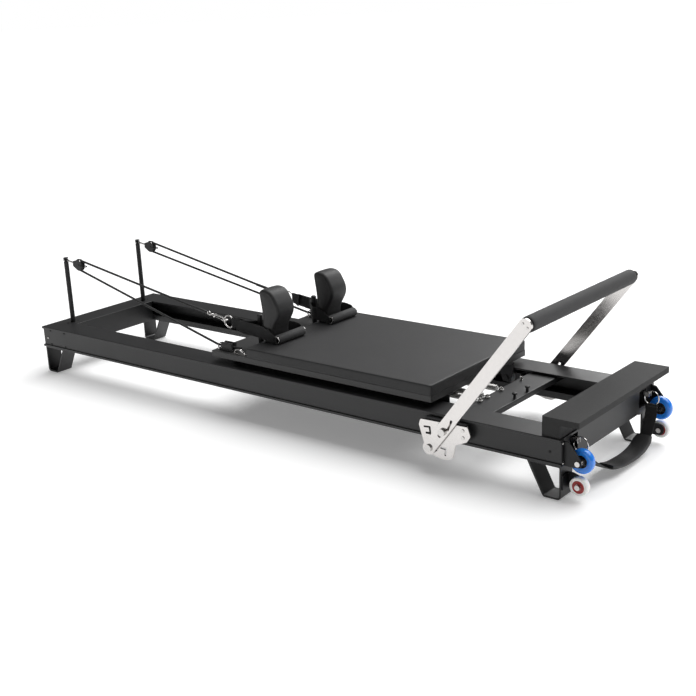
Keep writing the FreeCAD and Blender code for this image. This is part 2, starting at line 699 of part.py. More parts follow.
def hook_and_ring(name, side, hook_shift):
    """Snap hook tied to the rope end and the strap ring it holds."""
    hook = rope_points(side, hook_shift)[1]
    wire, long, wide = size("hook_wire"), size("hook_length"), size("hook_width")
    droop = 9.9
    turn = FreeCAD.Rotation(V(0, 1, 0), droop)
    tip, hip = long / 2, wide / 2
    outer = [(-tip, -6, 5), (-tip + 16, -hip, 8), (tip, -hip, 10), (tip, hip, 10), (-tip + 16, hip, 8), (-tip, 6, 5)]
    inner = [(-tip + wire, -3, 2), (-tip + 18, wire - hip, 4), (tip - wire, wire - hip, 4),
             (tip - wire, hip - wire, 4), (-tip + 18, hip - wire, 4), (-tip + wire, 3, 2)]
    body = plate("XY_Plane", [outer, inner], wire, 0, 0, -wire / 2)
    eye = turned([(4.8, -2.2, 1), (9.2, -2.2, 1), (9.2, 2.2, 1), (4.8, 2.2, 1)], -tip - 6, 2.2 - 2.2, 0, TURN_TO_Y)
    shift = num(tip) + 19.5
    start = hook + V(shift * math.cos(math.radians(droop)), 0, -shift * math.sin(math.radians(droop)))
    snap = fuse([body, eye])
    snap.Placement = FreeCAD.Placement(start, turn)
    end = snap.Placement.multVec(V(num(tip), 0, 0))
    ring_r, ring_w = num("ring_radius"), num("ring_wire") / 2
    centre = end + V(ring_r - ring_w - num(wire) - 0.8, 0, -3)
    ring = torus(centre.x, centre.y, centre.z, "ring_radius", size("ring_wire") / 2,
                 FreeCAD.Rotation(V(1, 0, 0), 90))
    node("rope_hook_" + name, group([snap, ring]))
    return centre


def grip_middle(side):
    return size("rest_inner") + size("rest_width") / 2 - (20 if side < 0 else -20)


def hand_strap(name, side, ring):
    """Webbing from the ring past the peg, splitting to the two ends of the grip."""
    wide, thick = num("strap_width"), num("strap_thick")
    grip_x = num(foot - "grip_back")
    grip_z = num(pad_top) + num("grip_diameter") / 2 + 0.4
    peg_x, peg_y = num(foot - "peg_back"), num("peg_offset")
    inner_y = num("rest_inner") - 2 - thick
    outer_y = num(size("rest_inner") + "rest_width") + 2 + thick
    reach = num("grip_length") / 2 + 0.6 + thick / 2
    outer_end = num(grip_middle(side)) + reach
    inner_end = num(grip_middle(side)) - reach
    front = ring.x + num("ring_radius") + num("ring_wire") / 2 + 1
    z0 = ring.z
    z1 = grip_z + 18

    def upright(i):
        return V(0, 0, 1)

    widths = [wide, wide, wide, wide, wide - 4, 30]
    split = (peg_x - 53, side * (abs(ring.y) + 1.5), (z0 + z1) / 2)
    outer = [(front, side * abs(ring.y), z0), split, (peg_x + 40, side * (outer_y - 4), z1 - 2),
             (grip_x - 62, side * outer_y, z1 - 5), (grip_x - 22, side * outer_end, z1 - 12),
             (grip_x + 3, side * outer_end, grip_z)]
    inner = [split, (peg_x - 33, side * (peg_y + 23), z1), (peg_x - 14, side * peg_y, z1),
             (peg_x - 5, side * (peg_y - 15), z1), (peg_x + 34, side * inner_y, z1 - 2),
             (grip_x - 22, side * inner_end, z1 - 12), (grip_x + 3, side * inner_end, grip_z)]
    solid = band(outer, widths, thick, upright).fuse(band(inner, widths[:1] + widths, thick, upright))
    node("hand_strap_" + name, made_in_code(solid))


def hand_grip(name, side):
    r, long = size("grip_diameter") / 2, size("grip_length")
    outline = [(r - 5, 0, 1), (r, 0, 1.5), (r, long, 1.5), (r - 5, long, 1)]
    middle = grip_middle(side)
    y = span_y(side, middle - long / 2, middle + long / 2)
    node("hand_grip_" + name, turned(outline, foot - "grip_back", y, pad_top + r + 0.4, TURN_TO_Y))


def cleats():
    parts = []
    x = foot - 1400
    for name, side in SIDES:
        y = half - 58
        plate_y = span_y(side, y - 14, y + 14)
        base = box(x + 16, plate_y, board_top, 60, 28, 7)
        walls = [box(x + 20, span_y(side, y - 13, y - 5), board_top + 7, 50, 8, 32),
                 box(x + 20, span_y(side, y + 5, y + 13), board_top + 7, 50, 8, 32)]
        block = rounded(fuse([base] + walls), 3, lambda e: e.BoundBox.ZMin > num(board_top) + 38)
        parts.append(block)
        eye = torus(x + 6, y * side, board_top + 13, 9, 2.5, TURN_TO_X)
        foot_plate = rounded(box(x - 5, plate_y, board_top, 16, 28, 3), 1, lambda e: e.BoundBox.ZMin > num(board_top) + 2.9)
        parts.append(fuse([eye, foot_plate]))
        saddle = [(0, 0), (38, 0), (38, 3, 1), (30, 10, 4), (8, 14, 4), (0, 3, 1)]
        parts.append(plate("XZ_Plane", [saddle], 8, x + 86, (y * side) + 22 * side * -1 + 4, board_top))
    node("rope_cleats", group(parts))


# ------------------------------------------------------------------ footbar
def arm_point(along, across=0.0):
    """Offset from the pivot of a point along and across the arm."""
    a = math.radians(num("arm_angle"))
    return along * math.cos(a) - across * math.sin(a), along * math.sin(a) + across * math.cos(a)


def footbar_brackets():
    inner = half + "spacer_thick"
    outer = inner + "bracket_thick"
    outline = [(-42, 67, 6), (-36, 86, 8), (138, 91, 8), (148, 62, 10), (134, 42, 10), (92, 24, 14),
               (82, -22, 12), (60, -32, 10), (36, -32, 8), (10, -25, 8), (-18, -23, 8), (-24, 8, 16)]
    slot_a = [(-24, 66.5, 2), (2, 68.5, 3), (5, 34, 2.5), (-1.5, 34, 2.5), (-2, 41.5), (-17, 40.5, 2.5),
              (-17, 47, 2.5), (-3, 48.5), (-4.5, 62), (-24, 60.5, 2)]
    slot_b = [(36, 9, 2), (61, 7.5, 3), (57, -19, 2.5), (50.5, -18, 2.5), (53.5, 0.5), (36, 2.5, 2)]
    r = size("bolt_diameter") / 2
    plates, spacers, bolts = [], [], []
    for name, side in SIDES:
        y = top_y(side, inner, outer)
        body = plate("XZ_Plane", [outline, slot_a, slot_b], "bracket_thick", foot - "pivot_back", y,
                     top - "pivot_drop", holes=[(0, 0, r + "bore_gap"), (22.5, -7, 3.2)])
        plates.append(body)
        face = span_y(side, half, inner)
        spacers.append(box(foot - "pivot_back" - 20, face, top - 42, 150, "spacer_thick", 30))
        bolt = [rod(foot - "pivot_back", span_y(side, inner - 6, outer + 3 + "arm_thick"), top - "pivot_drop", r,
                    size("bracket_thick") + "arm_thick" + 9, TURN_TO_Y),
                rod(foot - "pivot_back", span_y(side, inner - 6, inner), top - "pivot_drop", r + 4, 6, TURN_TO_Y)]
        cap_y = outer + 3 + "arm_thick"
        head_rod = rod(foot - "pivot_back", span_y(side, cap_y, cap_y + 6), top - "pivot_drop", r + 6, 6, TURN_TO_Y)
        bolt.append(head_rod)
        bolts.append(fuse(bolt))
        for along, drop in ((120, 31), (120, 54), (33, 28)):
            bolts.append(rod(foot - "pivot_back" + along, span_y(side, outer, outer + 2), top - drop, 6, 2, TURN_TO_Y))
    node("footbar_brackets", group(plates))
    node("bracket_spacers", group(spacers))
    node("footbar_pivot_bolts", group(bolts))


def footbar():
    inner = half + "spacer_thick" + "bracket_thick" + 3
    outer = inner + "arm_thick"
    w = num("arm_width") / 2
    long = num("arm_length")
    r = size("bolt_diameter") / 2
    turn = FreeCAD.Rotation(V(0, 1, 0), -num("arm_angle"))
    outline = [(-w, -w, w - 1), (long + w, -w, w - 1), (long + w, w, w - 1), (-w, w, w - 1)]
    slot = [(101, -17, 3), (140, -7.5, 3), (138, 0, 3), (105, -8.5), (99, -1, 2), (93, -4, 2), (96.5, -11, 2)]
    lock_slot = [(58, -9, 5), (73, -9, 2), (73, 3, 2), (58, 3, 5)]
    pads, bolts = [], []
    for name, side in SIDES:
        y = top_y(side, inner, outer)
        body = plate("XZ_Plane", [outline, slot, lock_slot], "arm_thick", foot - "pivot_back", y, top - "pivot_drop",
                     holes=[(0, 0, r + "bore_gap"), (82, -3, 6.3)], turn=turn)
        node("footbar_arm_" + name, body)
        dx, dz = arm_point(82, -3)
        x, z = foot - "pivot_back" + dx, top - "pivot_drop" + dz
        knob = fuse([rod(x, span_y(side, inner + 0.5, outer), z, 6, size("arm_thick") - 0.5, TURN_TO_Y),
                     rod(x, span_y(side, outer, outer + 8), z, 12, 8, TURN_TO_Y)])
        bolts.append(knob)
        for across in (-9, 9):
            dx, dz = arm_point(long, across)
            bolts.append(rod(foot - "pivot_back" + dx, span_y(side, outer, outer + 2), top - "pivot_drop" + dz,
                             4, 2, TURN_TO_Y))
    node("footbar_bolts", group(bolts))
    dx, dz = arm_point(long)
    x, z = foot - "pivot_back" + dx, top - "pivot_drop" + dz
    outline = [(11, -inner, 0.5), (size("footbar_diameter") / 2, -inner, 0.5),
               (size("footbar_diameter") / 2, inner, 0.5), (11, inner, 0.5)]
    node("footbar_tube", turned(outline, x, 0, z, TURN_TO_Y))
    wide = inner - 6
    r0, r1 = size("footbar_diameter") / 2, size("foam_diameter") / 2
    outline = [(r0, -wide, 1), (r1, -wide, 4), (r1, wide, 4), (r0, wide, 1)]
    node("footbar_foam", turned(outline, x, 0, z, TURN_TO_Y))


# ------------------------------------------------------------------ foot end
def platform():
    wide = half - "platform_inset"
    z = top + "platform_rise"
    back = size("platform_width") - "platform_reach"
    outline = [(-back, -wide, 4), ("platform_reach", -wide, 4), ("platform_reach", wide, 4), (-back, wide, 4)]
    node("platform_board", plate("XY_Plane", [outline], "platform_thick", foot, 0, z))
    long = size("support_width")
    outline = [(-back, -wide, 2), (long - back, -wide, 2), (long - back, wide, 2), (-back, wide, 2)]
    node("platform_support", plate("XY_Plane", [outline], "platform_rise", foot, 0, top))


def end_wheel(label, colour, x, inner, wide, z, diameter, hub):
    bore = size("axle_diameter") / 2 + "bore_gap"
    r = size(diameter) / 2
    w = size(wide)
    outline = [(bore, 0, 0.4), (hub, 0, 1), (hub + 2, 3, 1), (r * 0.7, 3, 1), (r * 0.78, 1, 1), (r * 0.92, 1, 2),
               (r, w * 0.36, 5), (r, w * 0.64, 5), (r * 0.92, w - 1, 2), (r * 0.78, w - 1, 1), (r * 0.7, w - 3, 1),
               (hub + 2, w - 3, 1), (hub, w, 1), (bore, w, 0.4)]
    for name, side in SIDES:
        y = span_y(side, inner, inner + wide)
        node("%s_wheel_%s" % (colour, name), turned(outline, x, y, z, TURN_TO_Y))


def strap_eye(side):
    """Two lugs on the frame end with the cross pin a foot strap ring hangs from."""
    y = (num(half) - 65) * side * (1.0 if side < 0 else 0.95)
    lugs = [box(foot, span_y(1, y + gap, y + gap + 2), top - 24, 24, 2, 16) for gap in (-7.5, 5.5)]
    pin = rod(foot + "foot_eye_reach", span_y(1, y - 8.5, y + 8.5), top - "foot_eye_drop", 3, 17, TURN_TO_Y)
    return fuse(lugs + [pin])


def end_wheels():
    white_z = size("floor_gap") + size("white_diameter") / 2
    blue_z = size("floor_gap") + "white_diameter" + 7 + size("blue_diameter") / 2
    x = foot + "wheel_reach"
    blue_in = half - 56
    white_in = half - 45
    axle = size("axle_diameter") / 2
    end_wheel("blue", "blue", x, blue_in, "blue_width", blue_z, "blue_diameter", 10)
    end_wheel("white", "white", x - 2, white_in, "white_width", white_z, "white_diameter", 15)
    brackets, casters, axles = [], [], []
    for name, side in SIDES:
        tongue = half - 20
        lift = blue_z - top
        outline = [(3, lift - 14), (3, -4, 3), (17, -8, 8), (size("wheel_reach") + 8, lift + 14, 9),
                   (size("wheel_reach") + 11, lift - 11, 9), (size("wheel_reach") - 10, lift - 14, 9)]
        holes = [(size("wheel_reach"), lift, axle + "bore_gap")]
        parts = [plate("XZ_Plane", [outline], 5, foot, top_y(side, tongue, tongue + 5), top, holes=holes)]
        parts.append(box(foot, span_y(side, tongue, half - 5), under + 2, 3, 15, size("rail_height") - 4))
        brackets.append(fuse(parts))
        brackets.append(strap_eye(side))
        a = rod(x, span_y(side, blue_in - 4, tongue + 9), blue_z, axle, tongue + 13 - blue_in, TURN_TO_Y)
        b = rod(x, span_y(side, tongue + 5, tongue + 9), blue_z, axle + 3, 4, TURN_TO_Y)
        c = rod(x, span_y(side, blue_in - 6, blue_in - 2), blue_z, axle + 3, 4, TURN_TO_Y)
        axles.append(fuse([a, b, c]))
        plate_in = white_in - 7
        outline = [(1, white_z - 18, 2), (1, white_z + 30, 2), (16, white_z + 30, 6),
                   (size("wheel_reach") + 14, white_z + 16, 14), (size("wheel_reach") + 14, white_z - 17, 15),
                   (size("wheel_reach") - 14, white_z - 17, 14)]
        holes = [(size("wheel_reach") - 2, white_z, axle + "bore_gap")]
        parts = [plate("XZ_Plane", [outline], 5, foot, top_y(side, plate_in, plate_in + 5), 0, holes=holes)]
        parts.append(box(foot - "leg_set", span_y(side, plate_in, plate_in + 40), white_z - 16, 4, 40, 46))
        casters.append(fuse(parts))
        a = rod(x - 2, span_y(side, plate_in - 4, white_in + 28), white_z, axle, white_in + 32 - plate_in, TURN_TO_Y)
        b = rod(x - 2, span_y(side, plate_in - 4, plate_in), white_z, axle + 3, 4, TURN_TO_Y)
        c = rod(x - 2, span_y(side, white_in + 26, white_in + 30), white_z, axle + 3, 4, TURN_TO_Y)
        axles.append(fuse([a, b, c]))
    node("wheel_brackets", group(brackets))
    node("caster_brackets", group(casters))
    node("wheel_axles", group(axles))


def foot_strap():
    """Webbing sling with a padded middle, hung from two rings at the foot end."""
    x = num(foot) + 30
    y0 = num(half) - 65
    z0 = num(top) - 30
    floor = num("foot_sag")
    depth = z0 - 24 - floor

    def across(i):
        return V(1, 0, 0)

    spots = [(-1.0, 0.0), (-0.86, 0.2), (-0.7, 0.42), (-0.52, 0.64), (-0.34, 0.82), (-0.12, 0.94),
             (0.12, 0.99), (0.36, 1.0), (0.58, 0.93), (0.76, 0.74), (0.88, 0.44), (0.94, 0.18), (0.95, 0.0)]
    line = [(x, y0 * a, z0 - 26 - depth * d) for a, d in spots]
    thick = num("foot_pad_thick")
    webbing = band(line, "foot_strap_width", 3, across)
    node("foot_strap_webbing", made_in_code(webbing))
    lift = 1.5 + 1 + thick / 2
    above = []
    for i in range(4, 10):
        slope = V(0, line[i + 1][1] - line[i - 1][1], line[i + 1][2] - line[i - 1][2]).normalize()
        above.append((line[i][0], line[i][1] - slope.z * lift, line[i][2] + slope.y * lift))
    shell = band(above, "foot_pad_width", thick, across)
    node("foot_strap_pad", made_in_code(shell))
    parts = []
    for name, side in SIDES:
        y = y0 * side * (1.0 if side < 0 else 0.95)
        ring = Part.makeTorus(num("foot_ring_radius"), 2.2, V(x, y, z0 + 2), V(0, 1, 0))
        parts.append(made_in_code(ring))
    node("foot_strap_rings", group(parts))


# ------------------------------------------------------------------ build
for side_name, sign in SIDES:
    rail(side_name, sign)
    leg(side_name, sign, True)
    leg(side_name, sign, False)
    riser_post(side_name, sign)
    pulley(side_name, sign)
head_crossbar()
foot_crossbar()
rail_screws()
spring_bar()
springs()
carriage_board()
pegs_and_rests()
carriage_wheels()
for side_name, sign in SIDES:
    shift = 0 if sign < 0 else -40
    rope(side_name, sign, shift)
    ring_centre = hook_and_ring(side_name, sign, shift)
    hand_strap(side_name, sign, ring_centre)
    hand_grip(side_name, sign)
cleats()
footbar_brackets()
footbar()
platform()
end_wheels()
foot_strap()

doc.recompute()
for obj in doc.Objects:
    for state in obj.State:
        if state in ("Invalid", "Error"):
            raise RuntimeError("%s is %s" % (obj.Name, state))
for label, obj in made:
    if obj.Shape.isNull() or not obj.Shape.isValid():
        raise RuntimeError("bad shape: " + label)
    if not obj.Shape.Solids:
        raise RuntimeError("no solid: " + label)
for label, obj in made:
    obj.Shape.exportStep("parts/%s.step" % label)
    bb = obj.Shape.BoundBox
    print("%-28s solids %2d  x %7.1f %7.1f  y %7.1f %7.1f  z %6.1f %6.1f" % (
        label, len(obj.Shape.Solids), bb.XMin, bb.XMax, bb.YMin, bb.YMax, bb.ZMin, bb.ZMax))
print("nodes", len(made))
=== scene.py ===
import json
import math

import bmesh
import bpy
from bpy.props import FloatProperty, FloatVectorProperty, PointerProperty
from mathutils import Matrix, Vector, noise


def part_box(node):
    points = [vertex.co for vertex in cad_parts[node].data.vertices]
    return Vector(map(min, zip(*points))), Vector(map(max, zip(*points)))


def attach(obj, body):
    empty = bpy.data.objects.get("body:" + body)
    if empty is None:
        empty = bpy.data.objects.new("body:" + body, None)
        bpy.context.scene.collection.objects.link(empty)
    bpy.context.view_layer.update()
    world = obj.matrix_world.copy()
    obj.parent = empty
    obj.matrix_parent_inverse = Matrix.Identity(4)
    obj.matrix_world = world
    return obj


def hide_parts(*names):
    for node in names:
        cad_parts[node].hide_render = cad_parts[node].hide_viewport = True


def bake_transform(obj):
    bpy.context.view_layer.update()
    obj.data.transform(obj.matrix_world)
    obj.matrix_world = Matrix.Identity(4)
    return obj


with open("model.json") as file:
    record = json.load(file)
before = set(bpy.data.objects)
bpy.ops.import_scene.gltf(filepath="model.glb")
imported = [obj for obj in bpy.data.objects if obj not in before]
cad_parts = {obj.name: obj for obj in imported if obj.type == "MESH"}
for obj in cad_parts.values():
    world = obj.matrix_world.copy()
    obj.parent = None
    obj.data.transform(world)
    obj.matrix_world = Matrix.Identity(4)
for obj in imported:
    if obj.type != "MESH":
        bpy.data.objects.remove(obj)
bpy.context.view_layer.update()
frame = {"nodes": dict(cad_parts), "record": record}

bl_info = {
    "name": "Pilates reformer",
    "version": (1, 0, 0),
    "blender": (4, 5, 0),
    "location": "View3D > Sidebar > Reformer",
    "description": "Looks of a pilates reformer built round its CAD frame",
    "category": "Add Mesh",
}

# Sizes below are millimetres in the frame's axes: +X to the foot end, +Y to the far rail, +Z up.
MM = 0.001
SIDES = (("near", -1), ("far", 1))


def linear(hex_colour):
    """An sRGB hex colour as linear red, green, blue."""
    channels = [int(hex_colour[i : i + 2], 16) / 255 for i in (1, 3, 5)]
    return tuple(c / 12.92 if c <= 0.04045 else ((c + 0.055) / 1.055) ** 2.4 for c in channels)


# ------------------------------------------------------------------ settings
def colour_setting(name, text, hex_colour):
    return FloatVectorProperty(name=name, description=text, subtype="COLOR", size=3, min=0, max=1,
                               default=linear(hex_colour))


def length_setting(name, text, metres):
    return FloatProperty(name=name, description=text, subtype="DISTANCE", unit="LENGTH", default=metres, min=0.0005)


class ReformerColours(bpy.types.PropertyGroup):
    powder: colour_setting("Frame powder coat", "Charcoal powder coat of the rails and legs", "#1c1c1d")
    silver: colour_setting("Polished steel", "Footbar arms and brackets", "#d6d3d1")
    vinyl: colour_setting("Upholstery", "Vinyl of the bed and the shoulder rests", "#171718")
    grit: colour_setting("Platform", "Grit-coated standing platform", "#262626")
    urethane: colour_setting("Transport wheels", "Blue urethane tyres", "#2a86ea")
    hub: colour_setting("Castor hubs", "Dark red hubs of the white wheels", "#a32c2a")


class ReformerSizes(bpy.types.PropertyGroup):
    rope: length_setting("Rope diameter", "Braided cord", 0.0085)
    spring_wire: length_setting("Spring wire", "Wire diameter of the extension springs", 0.003)
    webbing: length_setting("Webbing thickness", "Hand and foot straps", 0.0024)
    crown: length_setting("Bed crown", "How far the middle of the bed stands above its edge", 0.0016)


# ------------------------------------------------------------------ materials
def add(tree, kind, settings=None, links=None):
    """Adds one node with its settings and its incoming links."""
    node = tree.nodes.new(kind)
    for name, value in (settings or {}).items():
        if isinstance(name, int) or name in node.inputs:
            node.inputs[name].default_value = value
        else:
            setattr(node, name, value)
    for name, source in (links or {}).items():
        tree.links.new(source, node.inputs[name])
    return node


def start_material(name, **settings):
    """A material with one shader whose constant values are set on its own sockets."""
    material = bpy.data.materials.new(name)
    material.use_nodes = True
    tree = material.node_tree
    tree.nodes.clear()
    shader = add(tree, "ShaderNodeBsdfPrincipled")
    for key, value in settings.items():
        socket = shader.inputs[key.replace("_", " ")]
        socket.default_value = (*value, 1) if key == "Base_Color" else value
    add(tree, "ShaderNodeOutputMaterial", links={"Surface": shader.outputs[0]})
    place = add(tree, "ShaderNodeTexCoord").outputs["Object"]
    return material, tree, shader, place


def mottled(tree, shader, place, colour, spread, size_mm, detail=2.0):
    """Colour that drifts a little lighter and darker over patches of size_mm."""
    patches = add(tree, "ShaderNodeTexNoise", {"Scale": 1 / (size_mm * MM), "Detail": detail}, {"Vector": place})
    ramp = add(tree, "ShaderNodeValToRGB", links={"Fac": patches.outputs[0]})
    low, high = ramp.color_ramp.elements
    low.position, high.position = 0.3, 0.7
    low.color = (*[c * (1 - spread) for c in colour], 1)
    high.color = (*[min(1, c * (1 + spread)) for c in colour], 1)
    tree.links.new(ramp.outputs[0], shader.inputs["Base Color"])
    return patches


def wave_scale(spacing_mm):
    """Scale of a wave texture whose bands lie spacing_mm apart."""
    return 1 / (spacing_mm * MM) / 20 * math.tau


def rough_band(tree, shader, source, low, high):
    """Roughness that follows a texture between two values."""
    spread = add(tree, "ShaderNodeMapRange", {"To Min": low, "To Max": high}, {"Value": source})
    tree.links.new(spread.outputs[0], shader.inputs["Roughness"])


def bump(tree, shader, height, depth_mm, strength=1.0):
    lift = add(tree, "ShaderNodeBump", {"Distance": depth_mm * MM, "Strength": strength}, {"Height": height})
    tree.links.new(lift.outputs[0], shader.inputs["Normal"])
    return lift


def charcoal_powder_coat(colour):
    """Polyester powder coat, sprayed and baked: satin with a fine orange peel about 1.5 mm across."""
    material, tree, shader, place = start_material("charcoal_powder_coat", IOR=1.5)
    patches = mottled(tree, shader, place, colour, 0.06, 90)
    rough_band(tree, shader, patches.outputs[0], 0.38, 0.48)
    peel = add(tree, "ShaderNodeTexNoise", {"Scale": 1 / (1.5 * MM), "Detail": 1.0}, {"Vector": place})
    bump(tree, shader, peel.outputs[0], 0.05)
    return material


def polished_steel(colour):
    """Laser-cut steel plate, belt polished: mirror-like along the grain, with fine lines 0.8 mm apart."""
    material, tree, shader, place = start_material("polished_steel_plate", Metallic=1.0)
    patches = mottled(tree, shader, place, colour, 0.03, 9)
    rough_band(tree, shader, patches.outputs[0], 0.13, 0.24)
    grain = add(tree, "ShaderNodeTexNoise", {"Scale": 1 / (0.8 * MM), "Detail": 1.0}, {"Vector": place})
    bump(tree, shader, grain.outputs[0], 0.006)
    return material


def black_zinc_plate():
    """Black passivated zinc: near black metal with a low sheen and faint handling marks."""
    material, tree, shader, place = start_material("black_zinc_plate", Metallic=0.6)
    patches = mottled(tree, shader, place, linear("#29292a"), 0.12, 14)
    rough_band(tree, shader, patches.outputs[0], 0.34, 0.5)
    grain = add(tree, "ShaderNodeTexNoise", {"Scale": 1 / (0.8 * MM), "Detail": 2.0}, {"Vector": place})
    bump(tree, shader, grain.outputs[0], 0.02)
    return material


def bright_nickel_plate():
    """Nickel-plated steel, tumbled then plated: bright with soft, slightly wavy reflections."""
    material, tree, shader, place = start_material("bright_nickel_plate", Metallic=1.0)
    patches = mottled(tree, shader, place, linear("#cfcdcb"), 0.05, 6)
    rough_band(tree, shader, patches.outputs[0], 0.16, 0.32)
    waves = add(tree, "ShaderNodeTexNoise", {"Scale": 1 / (2.5 * MM), "Detail": 1.0}, {"Vector": place})
    bump(tree, shader, waves.outputs[0], 0.03)
    return material


def drawn_spring_wire():
    """Drawn music wire, zinc flashed: mid-bright grey, smoother along the wire than across it."""
    material, tree, shader, place = start_material("drawn_spring_wire", Metallic=1.0)
    patches = mottled(tree, shader, place, linear("#a9a8a6"), 0.1, 12)
    rough_band(tree, shader, patches.outputs[0], 0.24, 0.4)
    return material


def moulded_nylon(name="moulded_black_nylon", colour="#232324"):
    """Glass-filled nylon, injection moulded with a spark-eroded texture about 0.7 mm across: matt."""
    material, tree, shader, place = start_material(name, IOR=1.53)
    patches = mottled(tree, shader, place, linear(colour), 0.07, 18)
    rough_band(tree, shader, patches.outputs[0], 0.45, 0.6)
    grain = add(tree, "ShaderNodeTexNoise", {"Scale": 1 / (0.7 * MM), "Detail": 2.0}, {"Vector": place})
    bump(tree, shader, grain.outputs[0], 0.04)
    return material


def blue_urethane(colour):
    """Cast translucent urethane: saturated blue that glows lighter at its thin rim, glossy."""
    material, tree, shader, place = start_material(
        "cast_blue_urethane", IOR=1.5, Subsurface_Weight=0.35, Subsurface_Scale=0.006,
        Subsurface_Radius=(0.2, 0.6, 1.0), Coat_Weight=0.35, Coat_Roughness=0.08)
    patches = mottled(tree, shader, place, colour, 0.06, 12)
    rough_band(tree, shader, patches.outputs[0], 0.16, 0.26)
    return material


def tyre_urethane(name, colour):
    """Cast urethane tread, opaque: smooth and slightly waxy, with scuffs a few millimetres long."""
    material, tree, shader, place = start_material(name, IOR=1.5, Subsurface_Weight=0.08, Subsurface_Scale=0.003)
    patches = mottled(tree, shader, place, linear(colour), 0.04, 5)
    rough_band(tree, shader, patches.outputs[0], 0.38, 0.55)
    return material


def red_hub_nylon(colour):
    """Moulded nylon hub, self-coloured dark red: semi-gloss."""
    material, tree, shader, place = start_material("moulded_red_hub", IOR=1.53)
    patches = mottled(tree, shader, place, colour, 0.08, 4)
    rough_band(tree, shader, patches.outputs[0], 0.34, 0.46)
    return material


def upholstery_vinyl(colour):
    """Knit-backed PVC vinyl, embossed with a leather grain of about 1.6 mm cells: matt with a soft sheen."""
    material, tree, shader, place = start_material(
        "upholstery_vinyl", IOR=1.52, Sheen_Weight=0.08, Sheen_Roughness=0.5, Sheen_Tint=(0.8, 0.8, 0.8, 1))
    patches = mottled(tree, shader, place, colour, 0.06, 120, 3.0)
    cells = add(tree, "ShaderNodeTexVoronoi", {"Scale": 1 / (1.6 * MM), "feature": "DISTANCE_TO_EDGE"},
                {"Vector": place})
    creases = add(tree, "ShaderNodeMapRange", {"From Max": 0.16}, {"Value": cells.outputs[0]})
    rough_band(tree, shader, patches.outputs[0], 0.5, 0.6)
    bump(tree, shader, creases.outputs[0], 0.06, 0.8)
    return material


def laminated_board():
    """Birch ply with a black phenolic film: smooth, satin, with a faint wire-mesh emboss of 2 mm."""
    material, tree, shader, place = start_material("black_film_faced_ply", IOR=1.5)
    patches = mottled(tree, shader, place, linear("#2b2b2b"), 0.08, 60)
    rough_band(tree, shader, patches.outputs[0], 0.4, 0.5)
    film = add(tree, "ShaderNodeTexNoise", {"Scale": 1 / (2 * MM), "Detail": 1.0}, {"Vector": place})
    bump(tree, shader, film.outputs[0], 0.03)
    return material


def grit_coating(colour):
    """Rolled grit paint on the standing board: grains about 1.2 mm across, matt, slightly speckled."""
    material, tree, shader, place = start_material("rolled_grit_coating", IOR=1.5)
    grains = mottled(tree, shader, place, colour, 0.2, 1.2, 1.0)
    rough_band(tree, shader, grains.outputs[0], 0.68, 0.85)
    bump(tree, shader, grains.outputs[0], 0.25)
    return material


def closed_cell_foam():
    """Extruded NBR foam sleeve: matt black with pores about 0.9 mm across and a light dusty sheen."""
    material, tree, shader, place = start_material(
        "closed_cell_foam", IOR=1.45, Sheen_Weight=0.15, Sheen_Roughness=0.6, Sheen_Tint=(0.7, 0.7, 0.7, 1))
    patches = mottled(tree, shader, place, linear("#2d2d2e"), 0.09, 30)
    pores = add(tree, "ShaderNodeTexVoronoi", {"Scale": 1 / (0.9 * MM)}, {"Vector": place})
    rough_band(tree, shader, patches.outputs[0], 0.7, 0.82)
    bump(tree, shader, pores.outputs[0], 0.12, 0.7)
    return material


def woven_webbing():
    """Polyester webbing, plain woven: ribs 1.6 mm apart across the strap and warp cords 2 mm apart, dull."""
    material, tree, shader, _ = start_material(
        "woven_polyester_webbing", IOR=1.45, Sheen_Weight=0.2, Sheen_Roughness=0.5, Sheen_Tint=(0.6, 0.6, 0.6, 1))
    along = add(tree, "ShaderNodeUVMap").outputs[0]
    patches = mottled(tree, shader, along, linear("#121213"), 0.16, 3)
    ribs = add(tree, "ShaderNodeTexWave", {"Scale": wave_scale(1.6), "bands_direction": "X"},
               {"Vector": along})
    warp = add(tree, "ShaderNodeTexWave", {"Scale": wave_scale(2), "bands_direction": "Y"},
               {"Vector": along})
    weave = add(tree, "ShaderNodeMath", {"operation": "MULTIPLY"}, {0: ribs.outputs["Fac"], 1: warp.outputs["Fac"]})
    rough_band(tree, shader, patches.outputs[0], 0.68, 0.82)
    bump(tree, shader, weave.outputs[0], 0.25, 0.8)
    return material


def braided_cord():
    """Braided polyester cord: crossing strands about 2.5 mm long that catch small highlights."""
    material, tree, shader, _ = start_material(
        "braided_polyester_cord", IOR=1.45, Sheen_Weight=0.15, Sheen_Roughness=0.5, Sheen_Tint=(0.6, 0.6, 0.6, 1))
    along = add(tree, "ShaderNodeUVMap").outputs[0]
    patches = mottled(tree, shader, along, linear("#1b1b1c"), 0.25, 2)
    strands = []
    for angle in (45, -45):
        turned = add(tree, "ShaderNodeMapping", {"Rotation": (0, 0, math.radians(angle))}, {"Vector": along})
        wave = add(tree, "ShaderNodeTexWave", {"Scale": wave_scale(2.5)}, {"Vector": turned.outputs[0]})
        strands.append(wave.outputs["Fac"])
    braid = add(tree, "ShaderNodeMath", {"operation": "MAXIMUM"}, {0: strands[0], 1: strands[1]})
    rough_band(tree, shader, patches.outputs[0], 0.62, 0.78)
    bump(tree, shader, braid.outputs[0], 0.3, 0.7)
    return material


